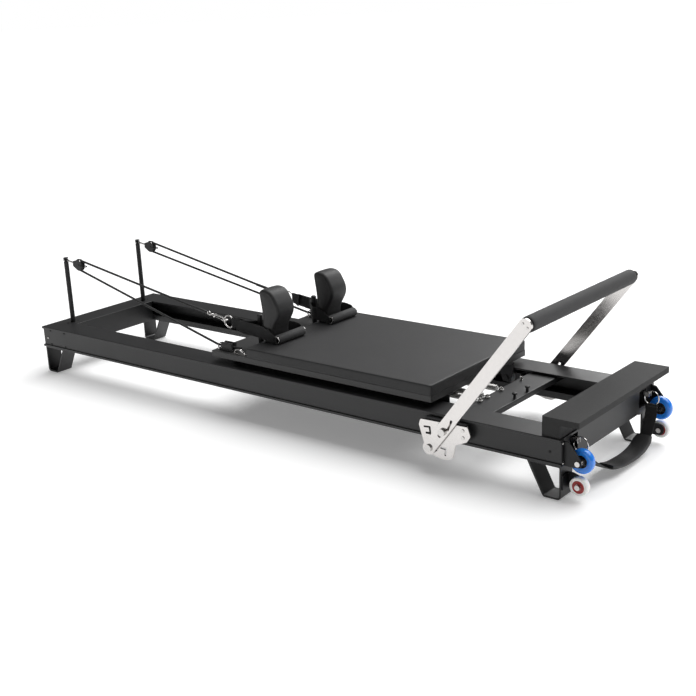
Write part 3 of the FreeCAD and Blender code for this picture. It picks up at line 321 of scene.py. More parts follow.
def make_finishes():
    """One material for each slot of the record, and the few that only a detail uses."""
    tint = bpy.context.scene.reformer_colours
    return {
        "charcoal_paint": charcoal_powder_coat(tint.powder),
        "silver_paint": polished_steel(tint.silver),
        "black_metal": black_zinc_plate(),
        "bright_steel": bright_nickel_plate(),
        "brushed_steel": drawn_spring_wire(),
        "black_plastic": moulded_nylon(),
        "grey_wheel": tyre_urethane("cast_grey_urethane", "#77777a"),
        "blue_wheel": blue_urethane(tint.urethane),
        "white_wheel": tyre_urethane("cast_white_urethane", "#fbfbf9"),
        "red_hub": red_hub_nylon(tint.hub),
        "black_vinyl": upholstery_vinyl(tint.vinyl),
        "black_board": laminated_board(),
        "grey_board": grit_coating(tint.grit),
        "black_foam": closed_cell_foam(),
        "black_webbing": woven_webbing(),
        "black_rope": braided_cord(),
    }


FINISH = {}


# ------------------------------------------------------------------ mesh making
class Shape:
    """Vertices, faces and texture distances of one piece while it is being made."""

    def __init__(self):
        self.verts, self.faces, self.uvs, self.kinds = [], [], [], []

    def face(self, corners, uv, kind):
        self.faces.append(corners)
        self.uvs.append(uv)
        self.kinds.append(kind)

    def skin(self, rings, uv_rows=None, wrap=True, close=False, kind=0):
        """Joins rings of points, all of one count, into a surface.  Points are millimetres."""
        base = len(self.verts)
        count = len(rings[0])
        for ring in rings:
            self.verts.extend(Vector(p) * MM for p in ring)
        rows = len(rings)
        for i in range(rows if close else rows - 1):
            j = (i + 1) % rows
            for k in range(count if wrap else count - 1):
                m = (k + 1) % count
                corners = (base + i * count + k, base + i * count + m, base + j * count + m, base + j * count + k)
                if uv_rows:
                    (u0, v), (u1, _) = uv_rows[i], uv_rows[i + 1 if i + 1 < len(uv_rows) else i]
                    uv = ((u0, v[k]), (u0, v[k + 1]), (u1, v[k + 1]), (u1, v[k]))
                else:
                    uv = ((0, 0),) * 4
                self.face(corners, uv, kind)
        return base, count, rows

    def cap(self, start, count, flip, kind=0):
        corners = list(range(start, start + count))
        self.face(tuple(reversed(corners) if flip else corners), ((0, 0),) * count, kind)

    def turned(self, profile, centre, axis, steps=40, closed=False, kind=0):
        """A turned part.  Each profile point is (radius, height) or (radius, height, "hex")."""
        turn = Vector((0, 0, 1)).rotation_difference(Vector(axis)).to_matrix()
        rings = []
        for point in profile:
            ring = []
            for k in range(steps):
                angle = math.tau * k / steps
                radius = max(point[0], 0.02)
                if len(point) > 2:
                    radius *= math.cos(math.pi / 6) / math.cos(angle % (math.pi / 3) - math.pi / 6)
                spot = Vector((radius * math.cos(angle), radius * math.sin(angle), point[1]))
                ring.append(turn @ spot + Vector(centre))
            rings.append(ring)
        base, count, rows = self.skin(rings, close=closed, kind=kind)
        if not closed:
            self.cap(base, count, True, kind)
            self.cap(base + (rows - 1) * count, count, False, kind)

    def swept(self, path, section, sides, loop=False, kind=0, widths=None):
        """Carries a closed section along a path; sides give the section's first axis at each point."""
        rings, rows, run = [], [], 0.0
        around = [0.0]
        for a, b in zip(section, section[1:] + section[:1]):
            around.append(around[-1] + math.dist(a, b) * MM)
        total = len(path)
        for i, point in enumerate(path):
            before = path[i - 1] if loop or i else path[0]
            after = path[(i + 1) % total] if loop or i + 1 < total else path[-1]
            along = (after - before).normalized()
            side = sides[i] if isinstance(sides, list) else sides
            side = (side - along * side.dot(along)).normalized()
            normal = along.cross(side)
            wide = widths[i] if widths else 1.0
            rings.append([point + side * (a * wide) + normal * b for a, b in section])
            if i:
                run += (point - path[i - 1]).length * MM
            rows.append((run, around))
        base, count, last = self.skin(rings, rows, close=loop, kind=kind)
        if not loop:
            self.cap(base, count, True, kind)
            self.cap(base + (last - 1) * count, count, False, kind)

    def finish(self, name, materials, slot, smooth=True):
        """Turns the shape into an object with outward faces."""
        mesh = bpy.data.meshes.new(name)
        mesh.from_pydata(self.verts, [], self.faces)
        layer = mesh.uv_layers.new(name="UVMap")
        for polygon, uv, kind in zip(mesh.polygons, self.uvs, self.kinds):
            polygon.material_index = kind
            polygon.use_smooth = smooth
            for loop_index, pair in zip(polygon.loop_indices, uv):
                layer.data[loop_index].uv = pair
        mesh.validate()
        obj = bpy.data.objects.new(name, mesh)
        bpy.context.scene.collection.objects.link(obj)
        for material in materials:
            mesh.materials.append(FINISH[material])
        outward(obj)
        if smooth:
            mesh.set_sharp_from_angle(angle=math.radians(38))
        return obj


def outward(obj):
    """Turns every face to look out of its piece."""
    work = bmesh.new()
    work.from_mesh(obj.data)
    bmesh.ops.recalc_face_normals(work, faces=work.faces)
    work.to_mesh(obj.data)
    work.free()


def disc(radius, steps=12, squash=1.0):
    """A round section."""
    return [(radius * math.cos(math.tau * k / steps), radius * squash * math.sin(math.tau * k / steps))
            for k in range(steps)]


def hoop(centre, radius, first, second, steps):
    """A ring of points in the plane of two directions."""
    centre, first, second = Vector(centre), Vector(first), Vector(second)
    angles = [math.tau * k / steps for k in range(steps)]
    return [centre + (first * math.cos(a) + second * math.sin(a)) * radius for a in angles]


def strap_section(width, thick):
    """A flat section with soft edges, first axis across the strap."""
    w, t = width / 2, thick / 2
    return [(-w, -t * 0.3), (-w + 1, -t), (-w * 0.4, -t), (w * 0.4, -t), (w - 1, -t), (w, -t * 0.3), (w, t * 0.3),
            (w - 1, t), (w * 0.4, t), (-w * 0.4, t), (-w + 1, t), (-w, t * 0.3)]


def bent_line(points, bends, step_mm=14.0, step_deg=7.0):
    """Straight runs joined by tangent arcs, as closely spaced points."""
    points = [Vector(p) for p in points]
    out = [points[0]]

    def run_to(target):
        start = out[-1]
        pieces = max(1, round((target - start).length / step_mm))
        out.extend(start.lerp(target, (i + 1) / pieces) for i in range(pieces))

    for i in range(1, len(points) - 1):
        corner = points[i]
        to_a = (points[i - 1] - corner).normalized()
        to_b = (points[i + 1] - corner).normalized()
        half = to_a.angle(to_b) / 2
        radius = bends[i - 1] if isinstance(bends, (list, tuple)) else bends
        shorter = min((points[i - 1] - corner).length, (points[i + 1] - corner).length)
        radius = min(radius, 0.48 * shorter * math.tan(half))
        centre = corner + (to_a + to_b).normalized() * (radius / math.sin(half))
        run_to(corner + to_a * (radius / math.tan(half)))
        arm = out[-1] - centre
        swing = math.pi - 2 * half
        axis = to_b.cross(to_a).normalized()
        steps = max(2, round(math.degrees(swing) / step_deg))
        for k in range(1, steps + 1):
            out.append(centre + Matrix.Rotation(swing * k / steps, 3, axis) @ arm)
    run_to(points[-1])
    return out


def carried_sides(path, first):
    """Directions across a path that turn with it and never twist."""
    sides = [Vector(first)]
    for i in range(1, len(path)):
        before = (path[i] - path[i - 1]).normalized()
        side = sides[-1] - before * sides[-1].dot(before)
        sides.append(side.normalized())
    return sides


def smooth_line(points, per_span=8):
    """A smooth curve through the points."""
    points = [Vector(p) for p in points]
    ends = [points[0] * 2 - points[1]] + points + [points[-1] * 2 - points[-2]]
    out = []
    for i in range(1, len(ends) - 2):
        a, b, c, d = ends[i - 1 : i + 3]
        for k in range(per_span):
            t = k / per_span
            out.append(0.5 * (2 * b + (c - a) * t + (2 * a - 5 * b + 4 * c - d) * t**2
                              + (3 * b - a - 3 * c + d) * t**3))
    out.append(points[-1])
    return out


def islands(node):
    """Lowest and highest corners, in millimetres, of each loose part of a CAD node."""
    mesh = frame["nodes"][node].data
    spots, owner = {}, []
    for v in mesh.vertices:
        key = tuple(round(c, 6) for c in v.co)
        owner.append(spots.setdefault(key, len(spots)))
    parent = list(range(len(spots)))

    def root(i):
        while parent[i] != i:
            parent[i] = parent[parent[i]]
            i = parent[i]
        return i

    for edge in mesh.edges:
        a, b = root(owner[edge.vertices[0]]), root(owner[edge.vertices[1]])
        parent[a] = b
    groups = {}
    for v in mesh.vertices:
        groups.setdefault(root(owner[v.index]), []).append(v.co)
    boxes = []
    for points in groups.values():
        low = Vector([min(p[i] for p in points) for i in range(3)]) / MM
        high = Vector([max(p[i] for p in points) for i in range(3)]) / MM
        boxes.append((low, high))
    return sorted(boxes, key=lambda b: tuple(round(c, 2) for c in b[0]))


def stands_for(obj, body, *nodes):
    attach(obj, body)
    if nodes:
        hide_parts(*nodes)
    return obj


# ------------------------------------------------------------------ pieces
POST_X = -1174.0
EYE_REACH, CHEEK_START, CHEEK_END = 12, 52, 100
EYE_LIMIT_Y = 250


def finish_cad_nodes():
    """Gives each CAD node the material of its slot; pulley cheeks are black, foot strap lugs bright."""
    for row in frame["record"]["subparts"]:
        obj = frame["nodes"][row["node"]]
        obj.data.materials.clear()
        obj.data.materials.append(FINISH[row["material_slot"]])
    for name, side in SIDES:
        block = frame["nodes"]["pulley_block_" + name]
        block.data.materials.append(FINISH["black_metal"])
        for polygon in block.data.polygons:
            away = (block.matrix_world @ polygon.center).x / MM - POST_X
            side_face = abs(polygon.normal.y) > 0.8
            if away < EYE_REACH or away > CHEEK_START and (side_face or away > CHEEK_END):
                polygon.material_index = 1
    block = frame["nodes"]["wheel_brackets"]
    block.data.materials.append(FINISH["bright_steel"])
    for polygon in block.data.polygons:
        if abs((block.matrix_world @ polygon.center).y) < EYE_LIMIT_Y * MM:
            polygon.material_index = 1


SCREW = [(0, -0.2), (4.1, -0.2), (4.1, 1.0), (3.4, 1.7), (2.3, 1.9), (2.2, 1.85, "hex"), (2.1, 0.6, "hex"), (0, 0.5)]


def make_screws():
    """Button-head socket screws on the frame, legs and wheel brackets."""
    bright, dark = Shape(), Shape()
    for low, high in islands("frame_screws"):
        size = high - low
        middle = (low + high) / 2
        thin = min(range(3), key=lambda i: size[i])
        axis = Vector((0, 0, 0))
        if thin == 0:
            axis.x = 1 if middle.x > 1150 else -1
        elif thin == 1:
            axis.y = math.copysign(1, middle.y)
        else:
            axis.z = 1
        shape = bright if thin == 0 or middle.x < -1200 else dark
        shape.turned(SCREW, middle - axis * size[thin] / 2, axis, 24)
    stands_for(bright.finish("bright_screws", ["bright_steel"], "bright_steel"), "frame", "frame_screws")
    stands_for(dark.finish("black_screws", ["black_metal"], "bright_steel"), "frame", "frame_screws")


def make_spring_bar_pegs():
    """Black mushroom knobs and bright studs that the spring hooks drop over."""
    knobs, studs = Shape(), Shape()
    for low, high in islands("spring_pegs"):
        x, y, z = (low.x + high.x) / 2, (low.y + high.y) / 2, low.z
        if high.x - low.x > 14:
            knobs.turned([(0, 0), (6, 0), (6, 1.2), (4.6, 2), (4.4, 10.5), (5.4, 12), (8, 13), (8.5, 14.5), (8.3, 16.5),
                          (6.8, 18.3), (4, 19), (0, 19.2)], (x, y, z), (0, 0, 1), 32)
        else:
            studs.turned([(0, 0), (5.5, 0), (5.5, 1.2), (3.1, 1.3), (3, 8.6), (5.6, 9), (6, 9.6), (6, 11), (5.2, 12),
                          (2.6, 12.1), (2.5, 12, "hex"), (2.4, 10.5, "hex"), (0, 10.4)], (x, y, z), (0, 0, 1), 24)
    stands_for(knobs.finish("spring_bar_knobs", ["black_plastic"], "black_plastic"), "frame", "spring_pegs")
    stands_for(studs.finish("spring_bar_studs", ["bright_steel"], "bright_steel"), "frame", "spring_pegs")


def spring_coil(shape, y, z, anchor_x, hook_x, wire):
    """A close-wound extension spring with a full loop at each end."""
    start, end = anchor_x + 16, hook_x - 16
    radius = 11 - wire / 2
    turns = round((end - start) / (wire * 1.28))
    per_turn = 11
    path, sides = [], []
    for k in range(turns * per_turn + 1):
        angle = math.tau * k / per_turn
        share = k / (turns * per_turn)
        pull = min(1, min(share, 1 - share) * turns / 0.8)
        side = Vector((0, math.cos(angle), math.sin(angle)))
        path.append(Vector((start + (end - start) * share, y, z)) + side * radius * (0.55 + 0.45 * pull))
        sides.append(side)
    shape.swept(path, disc(wire / 2, 6), sides)
    for x, away in ((anchor_x, -1), (hook_x, 1)):
        loop, spread = [], []
        for k in range(19):
            angle = math.pi * (0.12 + 1.76 * k / 18)
            side = Vector((-away * math.cos(angle), math.sin(angle), 0))
            loop.append(Vector((x, y, z)) + side * 7.5)
            spread.append(side)
        tail = Vector((x - away * 17, y, z + radius * 0.5))
        shape.swept([tail] + loop, disc(wire / 2, 8), [Vector((0, 1, 0))] + spread)


def make_springs():
    """Three hooked springs and the spare one parked under the bed."""
    wire = bpy.context.scene.reformer_sizes.spring_wire / MM
    low, high = (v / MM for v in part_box("carriage_springs"))
    z = (low.z + high.z) / 2
    anchor, hook = low.x + 9, high.x - 9
    hooked = Shape()
    for y in (-126, -84, 0):
        spring_coil(hooked, y, z, anchor, hook, wire)
    piece = hooked.finish("extension_springs", ["brushed_steel"], "brushed_steel")
    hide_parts("carriage_springs")
    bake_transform(piece)
    low, high = (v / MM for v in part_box("parked_spring"))
    spare = Shape()
    spring_coil(spare, (low.y + high.y) / 2, z, low.x + 9, high.x - 9, wire)
    stands_for(spare.finish("spare_spring", ["brushed_steel"], "brushed_steel"), "carriage", "parked_spring")


def rounded_rectangle(centre_x, centre_y, half_x, half_y, radius, z):
    """One ring of points round a rectangle with rounded corners."""
    ring = []
    for corner in range(4):
        sx = 1 if corner in (0, 3) else -1
        sy = 1 if corner in (0, 1) else -1
        for k in range(9):
            angle = math.pi / 2 * (corner + k / 8)
            ring.append(Vector((centre_x + sx * (half_x - radius) + radius * math.cos(angle),
                                centre_y + sy * (half_y - radius) + radius * math.sin(angle), z)))
        following = (corner + 1) % 4
        nx = 1 if following in (0, 3) else -1
        ny = 1 if following in (0, 1) else -1
        angle = math.pi / 2 * (corner + 1)
        goal = Vector((centre_x + nx * (half_x - radius) + radius * math.cos(angle),
                       centre_y + ny * (half_y - radius) + radius * math.sin(angle), z))
        start = ring[-1]
        ring.extend(start.lerp(goal, (i + 1) / 22) for i in range(21))
    return ring


def make_bed():
    """The upholstered bed: vinyl pulled over foam, soft edges, slightly crowned, tucked in at the board."""
    low, high = (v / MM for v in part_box("carriage_pad"))
    crown = bpy.context.scene.reformer_sizes.crown / MM
    half = min(high.y, 284.0)
    x0, x1 = -105.0, 687.0
    cx, hx = (x0 + x1) / 2, (x1 - x0) / 2
    steps = [(1.5, 0.0), (0.4, 0.6), (0, 3), (0, 10), (0, 20), (0, 27), (0.2, 30), (0.8, 32.6), (2.2, 34.3),
             (4.6, 35.0), (9, 35.2), (18, 35.2), (32, 35.2), (55, 35.3),
             (90, 35.6), (130, 36), (180, 36.3), (230, 36.5), (270, 36.5)]
    rings = []
    for inset, rise in steps:
        lift = 35 + (rise - 35) * crown / 1.5 if rise > 35 else rise
        ring = rounded_rectangle(cx, 0, hx - inset, half - inset, max(8 - inset * 0.7, 2), low.z + lift)
        for p in ring:
            ripple = noise.noise(Vector((p.x / 55, p.y / 55, rise / 12)))
            if 0.5 < rise < 33:
                out = Vector((p.x - cx, p.y, 0)).normalized()
                p += out * (ripple * 0.45 - 0.45)
            elif rise >= 33:
                p.z += ripple * 0.18
        rings.append(ring)
    shape = Shape()
    base, count, rows = shape.skin(rings)
    shape.cap(base, count, True)
    shape.cap(base + (rows - 1) * count, count, False)
    pad = shape.finish("upholstered_bed", ["black_vinyl"], "black_vinyl")
    stands_for(pad, "carriage", "carriage_pad")


REST_OUTLINE = [(-25, 0, 5), (-27, 108, 90), (-38, 186, 18), (-12, 192, 26), (22, 187, 32), (63, 117, 48), (19, 50, 44),
                (19, 0, 5)]


def rest_outline():
    """The side view of a shoulder rest as an even ring of points, x from its own middle and z from its foot."""
    corners = [Vector((c[0], 0, c[1])) for c in REST_OUTLINE]
    middle = (corners[0] + corners[-1]) / 2
    bends = [c[2] for c in REST_OUTLINE]
    line = bent_line([middle] + corners + [middle], bends, 6, 9)[:-1]
    for _ in range(6):
        line = [p if p.z < 2 else line[i - 1] * 0.25 + p * 0.5 + line[(i + 1) % len(line)] * 0.25
                for i, p in enumerate(line)]
    return line


def make_rests():
    """Two bean-shaped shoulder rests in one piece of moulded foam under vinyl, with rounded side edges."""
    outline = rest_outline()
    count = len(outline)
    normals = []
    for i, p in enumerate(outline):
        along = (outline[(i + 1) % count] - outline[i - 1]).normalized()
        normals.append(along.cross(Vector((0, 1, 0))))
    if sum(n.dot(p - Vector((0, 0, 95))) for n, p in zip(normals, outline)) < 0:
        normals = [-n for n in normals]
    spine = []
    for p in outline:
        level = [q.x for q in outline if abs(q.z - min(max(p.z, 24), 160)) < 9]
        spine.append(Vector(((min(level) + max(level)) / 2, 0, min(max(p.z, 24), 160))))
    for name, side in SIDES:
        low, high = (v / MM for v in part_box("shoulder_rest_" + name))
        middle = Vector((-73, (low.y + high.y) / 2, low.z))
        half = (high.y - low.y) / 2
        stations = []
        for k in range(9):
            angle = math.pi / 2 * k / 8
            stations.append((11 * (1 - math.sin(angle)), half - 11 * (1 - math.cos(angle))))
        edge = [(inset, y) for inset, y in stations]
        rings = []
        for share in (0.12, 0.35, 0.6, 0.82, 0.94):
            ring = []
            for p, n, s in zip(outline, normals, spine):
                q = p - n * 11
                q = s + (q - s) * share
                ring.append(Vector((q.x, -half + 0.5 - 2.2 * (1 - share**2), max(q.z, 0.4))))
            rings.append(ring)
        for inset, y in edge:
            moved = [p - n * inset for p, n in zip(outline, normals)]
            rings.append([Vector((p.x, -y, max(p.z, 0.0))) for p in moved])
        for share in (0.66, 0.33, 0, -0.33, -0.66):
            swell = 1.2 * (1 - share**2)
            rings.append([Vector(((p + n * swell).x, -(half - 11) * share, max((p + n * swell).z, 0.0)))
                          for p, n in zip(outline, normals)])
        for ring in list(reversed(rings[:-5])):
            rings.append([Vector((p.x, -p.y, p.z)) for p in ring])
        shape = Shape()
        base, size, rows = shape.skin([[p + middle for p in ring] for ring in rings])
        shape.cap(base, size, True)
        shape.cap(base + (rows - 1) * size, size, False)
        rest = shape.finish("shoulder_rest_cover_" + name, ["black_vinyl"], "black_vinyl")
        stands_for(rest, "rest_" + name, "shoulder_rest_" + name)


# ropes: where each one leaves the sheave, its hook and its cleat
ROPE_START = -1035.0
SHEAVE = Vector((-1087, 191.5, 440))


def rope_hook_point(side, shift):
    return Vector((-385 + shift, side * 187, 338))


def rope_route(side, shift):
    """Centre line of one taut rope from its hook, round the sheave and down to the cleat."""
    centre = Vector((SHEAVE.x, SHEAVE.y * side, SHEAVE.z))
    hook, lead = rope_hook_point(side, shift), Vector((-270, side * 247, 246))
    back = centre.x - 20.2

    def height(target, upper):
        dx, dz = target.x - centre.x, target.z - centre.z
        swing = math.asin(20 / math.hypot(dx, dz))
        slope = math.tan(math.atan2(dz, dx) + (-swing if upper else swing))
        return target.z - slope * (target.x - back)

    over = Vector((back, centre.y, height(hook, True)))
    below = Vector((back, centre.y, height(lead, False)))
    return bent_line([hook, over, below, lead + Vector((0, 0, 0))], [20, 20], 14, 8)


def cut_route(route, limit):
    """Splits a route where it crosses x = limit: the run before, the part beyond and the run after."""
    inside = [i for i, p in enumerate(route) if p.x < limit]
    first, last = inside[0], inside[-1]

    def crossing(a, b):
        return a.lerp(b, (limit - a.x) / (b.x - a.x))

    a = crossing(route[first - 1], route[first])
    b = crossing(route[last], route[last + 1])
    return route[:first] + [a], [a] + route[first : last + 1] + [b], [b] + route[last + 1 :]


def make_ropes():
    """Two braided ropes, each in three runs: from the hook to the sheave, round the sheave and down to the cleat."""
    radius = bpy.context.scene.reformer_sizes.rope / MM / 2
    for name, side in SIDES:
        shift = 0 if side < 0 else -40
        route = rope_route(side, shift)
        upper, wrap, lower = cut_route(route, ROPE_START)
        tail = bent_line([lower[-1], lower[-1] + Vector((30, 0, 3)), lower[-1] + Vector((112, side * 0.5, 2))], 30, 8)
        lower = lower + tail[1:]
        pieces = []
        for label, run in (("upper", upper), ("wrap", wrap), ("lower", lower)):
            shape = Shape()
            shape.swept(run, disc(radius, 12), carried_sides(run, (0, 1, 0)))
            pieces.append(shape.finish("rope_%s_%s" % (label, name), ["black_rope"], "black_rope"))
        for piece in pieces:
            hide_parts("rope_" + name)
        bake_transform(pieces[0])
        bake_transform(pieces[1])
        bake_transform(pieces[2])


def make_hooks():
    """Snap hooks on the rope ends: swivel eye, body, spring gate, the whipped rope end and the strap ring."""
    droop = math.radians(9.9)
    for name, side in SIDES:
        shift = 0 if side < 0 else -40
        start = rope_hook_point(side, shift)
        turn = Matrix.Rotation(droop, 3, "Y")

        def spot(along, across=0.0, up=0.0):
            return start + turn @ Vector((along, across, up))

        metal, dark = Shape(), Shape()
        eye = [spot(13.5 + 7 * math.cos(a), 0, 7 * math.sin(a)) for a in [math.tau * k / 20 for k in range(20)]]
        metal.swept(eye, disc(2.1, 8), [turn @ Vector((0, 1, 0))] * 20, loop=True)
        metal.turned([(0, 0), (3, 0), (4.6, 1), (4.6, 6), (3.4, 7), (0, 7)], spot(20.5), turn @ Vector((1, 0, 0)), 20)
        outline = [spot(28, 0), spot(31, 6), spot(45, 9), spot(88, 9), spot(103, 9), spot(103, -9), spot(90, -9),
                   spot(86, -8)]
        body = bent_line(outline, [4, 6, 8, 8, 8, 8, 4], 5, 14)
        metal.swept(body, disc(2.9, 10), turn @ Vector((0, 0, 1)))
        gate = bent_line([spot(29, -2), spot(36, -7.5), spot(86, -8.5)], [6], 6, 12)
        metal.swept(gate, disc(1.7, 8), turn @ Vector((0, 0, 1)))
        thumb = spot(50, -9.5)
        metal.turned([(0, -2), (2.4, -2), (2.8, 0), (2.4, 2), (0, 2)], thumb, turn @ Vector((0, 1, 0)), 16)
        dark.turned([(0, -58), (4.2, -58), (5.4, -53), (5.6, -3), (4.6, 1), (0, 1)], start + Vector((0, 0, 0)),
                    (Vector((math.cos(droop), 0, -math.sin(droop)))), 20)
        dark_piece = dark.finish("rope_end_sleeve_" + name, ["black_plastic"], "black_plastic")
        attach(dark_piece, "rope_end_" + name)
        end = spot(103)
        ring = Vector((end.x + 22 - 2.5 - 6 - 0.8, end.y, end.z - 3))
        circle = hoop(ring, 22, (1, 0, 0), (0, 0, 1), 40)
        metal.swept(circle, disc(2.5, 10), [Vector((0, 1, 0))] * 40, loop=True)
        stands_for(metal.finish("snap_hook_" + name, ["bright_steel"], "bright_steel"), "rope_end_" + name,
                   "rope_hook_" + name)


def grip_span(side):
    """Distances of a grip's two ends from the middle plane."""
    middle = 147.75 + (-20 if side < 0 else 20)
    return middle - 70, middle + 70


def ring_point(side):
    return Vector((-270.3 if side < 0 else -310.3, side * 187, 317.2))


def stitches(shape, path, across, height, pitch=4.2):
    """A row of short thread stitches along a path."""
    for i in range(len(path) - 1):
        a, b = path[i], path[i + 1]
        run = (b - a).length
        count = max(1, int(run / pitch))
        along = (b - a).normalized()
        for k in range(count):
            middle = a + along * (run * (k + 0.5) / count)
            points = [middle + along * s * pitch * 0.33 + height * h for s, h in ((-1, 0.0), (0, 1.0), (1, 0.0))]
            shape.swept(points, disc(0.35, 5), across)


def make_hand_straps():
    """Webbing hand straps: folded and sewn round the ring, split at the peg, one leg to each end of the grip."""
    thick = bpy.context.scene.reformer_sizes.webbing / MM
    for name, side in SIDES:
        ring = ring_point(side)
        inner_end, outer_end = grip_span(side)
        wire_x = ring.x + 22
        up = Vector((0, 0, 1))
        fold = []
        for k in range(9):
            angle = math.pi * (0.5 + k / 8)
            fold.append(Vector((wire_x + 4.4 * math.cos(angle), side * 187 + 4.4 * math.sin(angle), ring.z)))
        tab = [Vector((wire_x + 34, side * (187 - 8.6), 310.5)), Vector((wire_x + 14, side * (187 - 3.4), ring.z - 2))]
        if (tab[1] - fold[0]).length > (tab[1] - fold[-1]).length:
            fold.reverse()
        outer = tab + fold
        end = outer_end + 3.2
        run = [(wire_x + 16, side * (187 - 0.2), ring.z - 3), (-205, side * 188.6, 306), (-150, side * 191, 304),
               (-112, side * 195, 303), (-93, side * (196 + (end - 196) * 0.08), 301),
               (-72, side * (197 + (end - 197) * 0.5), 297), (-52, side * end, 290), (-40, side * end, 286.5),
               (-28, side * end, 285)]
        outer += smooth_line(run, 6)
        pinched, last = 0.8, 0.48
        widths = []
        for p in outer:
            near_ring = min(max((p.x - wire_x - 2) / 26, 0), 1)
            near_grip = min(max((-34 - p.x) / 34, 0), 1)
            widths.append((pinched + (1 - pinched) * near_ring) * (last + (1 - last) * near_grip))
        section = strap_section(46, thick)
        shape = Shape()
        shape.swept(outer, section, up, widths=widths)
        end = inner_end - 3.2
        inner = smooth_line([(-226, side * 185.4, 308), (-206, side * 184, 306), (-186, side * 171, 304),
                             (-167, side * 150, 304), (-156, side * 134, 303), (-118, side * 98.5, 303),
                             (-93, side * (97 + (end - 97) * 0.08), 301), (-72, side * (97 + (end - 97) * 0.5), 297),
                             (-52, side * end, 290), (-40, side * end, 286.5), (-28, side * end, 285)], 6)
        widths = [last + (1 - last) * min(max((-34 - p.x) / 34, 0), 1) for p in inner]
        shape.swept(inner, section, up, widths=widths)
        face = Vector((0, -1, 0))
        for dz in (-19, 19):
            line = [Vector((wire_x + 16, side * (187 - 5.6), ring.z - 2 + dz * 0.9)),
                    Vector((wire_x + 33, side * (187 - 10.6), 310.5 + dz))]
            for out in (-1, 1):
                shift = face * out * (3.2 if out > 0 else 3.0) + Vector((0, 1.0 * side, 0))
                stitches(shape, [p + shift for p in line], up, face * out * 0.3)
        strap = shape.finish("webbing_strap_" + name, ["black_webbing"], "black_webbing")
        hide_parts("hand_strap_" + name)
        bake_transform(strap)


def make_grips():
    """Foam grips on a tube whose bright rolled rims show at both ends."""
    for name, side in SIDES:
        inner, outer = grip_span(side)
        low, high = sorted((side * inner, side * outer))
        centre = (-31, low, 284.9)
        foam = Shape()
        long = high - low
        foam.turned([(11.4, 1.2), (14.6, 0.8), (16, 1.6), (16.5, 3.6), (16.35, long * 0.5), (16.5, long - 3.6),
                     (16, long - 1.6), (14.6, long - 0.8), (11.4, long - 1.2)], centre, (0, 1, 0), 40, closed=True)
        piece = foam.finish("foam_grip_" + name, ["black_foam"], "black_foam")
        stands_for(piece, "carriage", "hand_grip_" + name)
        rims = Shape()
        rims.turned([(10, -1.4), (13.4, -1.8), (14.6, -1.2), (14.5, 0.6), (11.3, 1.3), (11.3, long - 1.3),
                     (14.5, long - 0.6), (14.6, long + 1.2), (13.4, long + 1.8), (10, long + 1.4)],
                    centre, (0, 1, 0), 40, closed=True)
        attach(rims.finish("grip_tube_" + name, ["bright_steel"], "bright_steel"), "carriage")


def rounded_block(shape, centre, size, radius, kind=0):
    """A block with rounded upright and top edges."""
    cx, cy, cz = centre
    hx, hy, hz = (s / 2 for s in size)
    rings = []
    for inset, z in ((radius * 0.4, -hz), (0, -hz + radius * 0.4), (0, hz - radius), (radius * 0.3, hz - radius * 0.3),
                     (radius, hz)):
        ring = []
        for corner in range(4):
            sx = 1 if corner in (0, 3) else -1
            sy = 1 if corner in (0, 1) else -1
            for k in range(4):
                angle = math.pi / 2 * (corner + k / 3)
                bend = radius
                ring.append(Vector((cx + sx * (hx - inset - bend) + bend * math.cos(angle),
                                    cy + sy * (hy - inset - bend) + bend * math.sin(angle), cz + z)))
        rings.append(ring)
    base, count, rows = shape.skin(rings, kind=kind)
    shape.cap(base, count, True, kind)
    shape.cap(base + (rows - 1) * count, count, False, kind)


def make_cleats():
    """Rope cleats on the board: a bright eye plate, two ribbed jaws on a base, and a bright saddle with its screw."""
    metal, plastic = Shape(), Shape()
    for name, side in SIDES:
        y = side * 247
        ring = hoop((-264, y, 246), 9, (0, 1, 0), (0, 0, 1), 28)
        metal.swept(ring, disc(2.3, 8), [Vector((1, 0, 0))] * 28, loop=True)
        rounded_block(metal, (-263, y, 234.6), (18, 30, 3), 1.2)
        for dy in (-10.5, 10.5):
            metal.turned([(0, 0), (3.4, 0), (3.4, 1), (2.4, 1.8), (1.4, 1.9, "hex"), (1.3, 0.8, "hex"), (0, 0.8)],
                         (-263, y + dy, 236), (0, 0, 1), 20)
        rounded_block(plastic, (-222, y, 236.6), (66, 30, 7), 1.6)
        for dy in (-9, 9):
            rounded_block(plastic, (-220, y + dy, 250.5), (54, 9, 25), 2.4)
            for k in range(9):
                x = -244 + k * 4.8
                inside = y + dy - math.copysign(4.1, dy)
                rib = [Vector((x - 1.6, inside, 242)), Vector((x + 1.6, inside, 261))]
                plastic.swept(rib, disc(0.9, 6), Vector((1, 0, 0)))
        for k in (-1, 1):
            metal.turned([(0, 0), (3.2, 0), (3.2, 1.4), (2.2, 2.2), (0, 2.3)], (-225 + k * 18, y, 240), (0, 0, 1), 20)
        front = y + side * 16
        rounded_block(metal, (-150, front, 234.4), (58, 12, 2.8), 1)
        bow = bent_line([Vector((-176, front, 236)), Vector((-168, front, 248)), Vector((-148, front, 250)),
                         Vector((-130, front, 236))], [8, 8], 4, 10)
        metal.swept(bow, strap_section(10, 2.4), Vector((0, 1, 0)))
        for x in (-174, -130):
            metal.turned([(0, 0), (4, 0), (4, 1.4), (2.6, 2.4), (0, 2.5)], (x, front, 236), (0, 0, 1), 20)
    stands_for(metal.finish("cleat_metalwork", ["bright_steel"], "bright_steel"), "carriage", "rope_cleats")
    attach(plastic.finish("cleat_jaws", ["black_plastic"], "black_plastic"), "carriage")


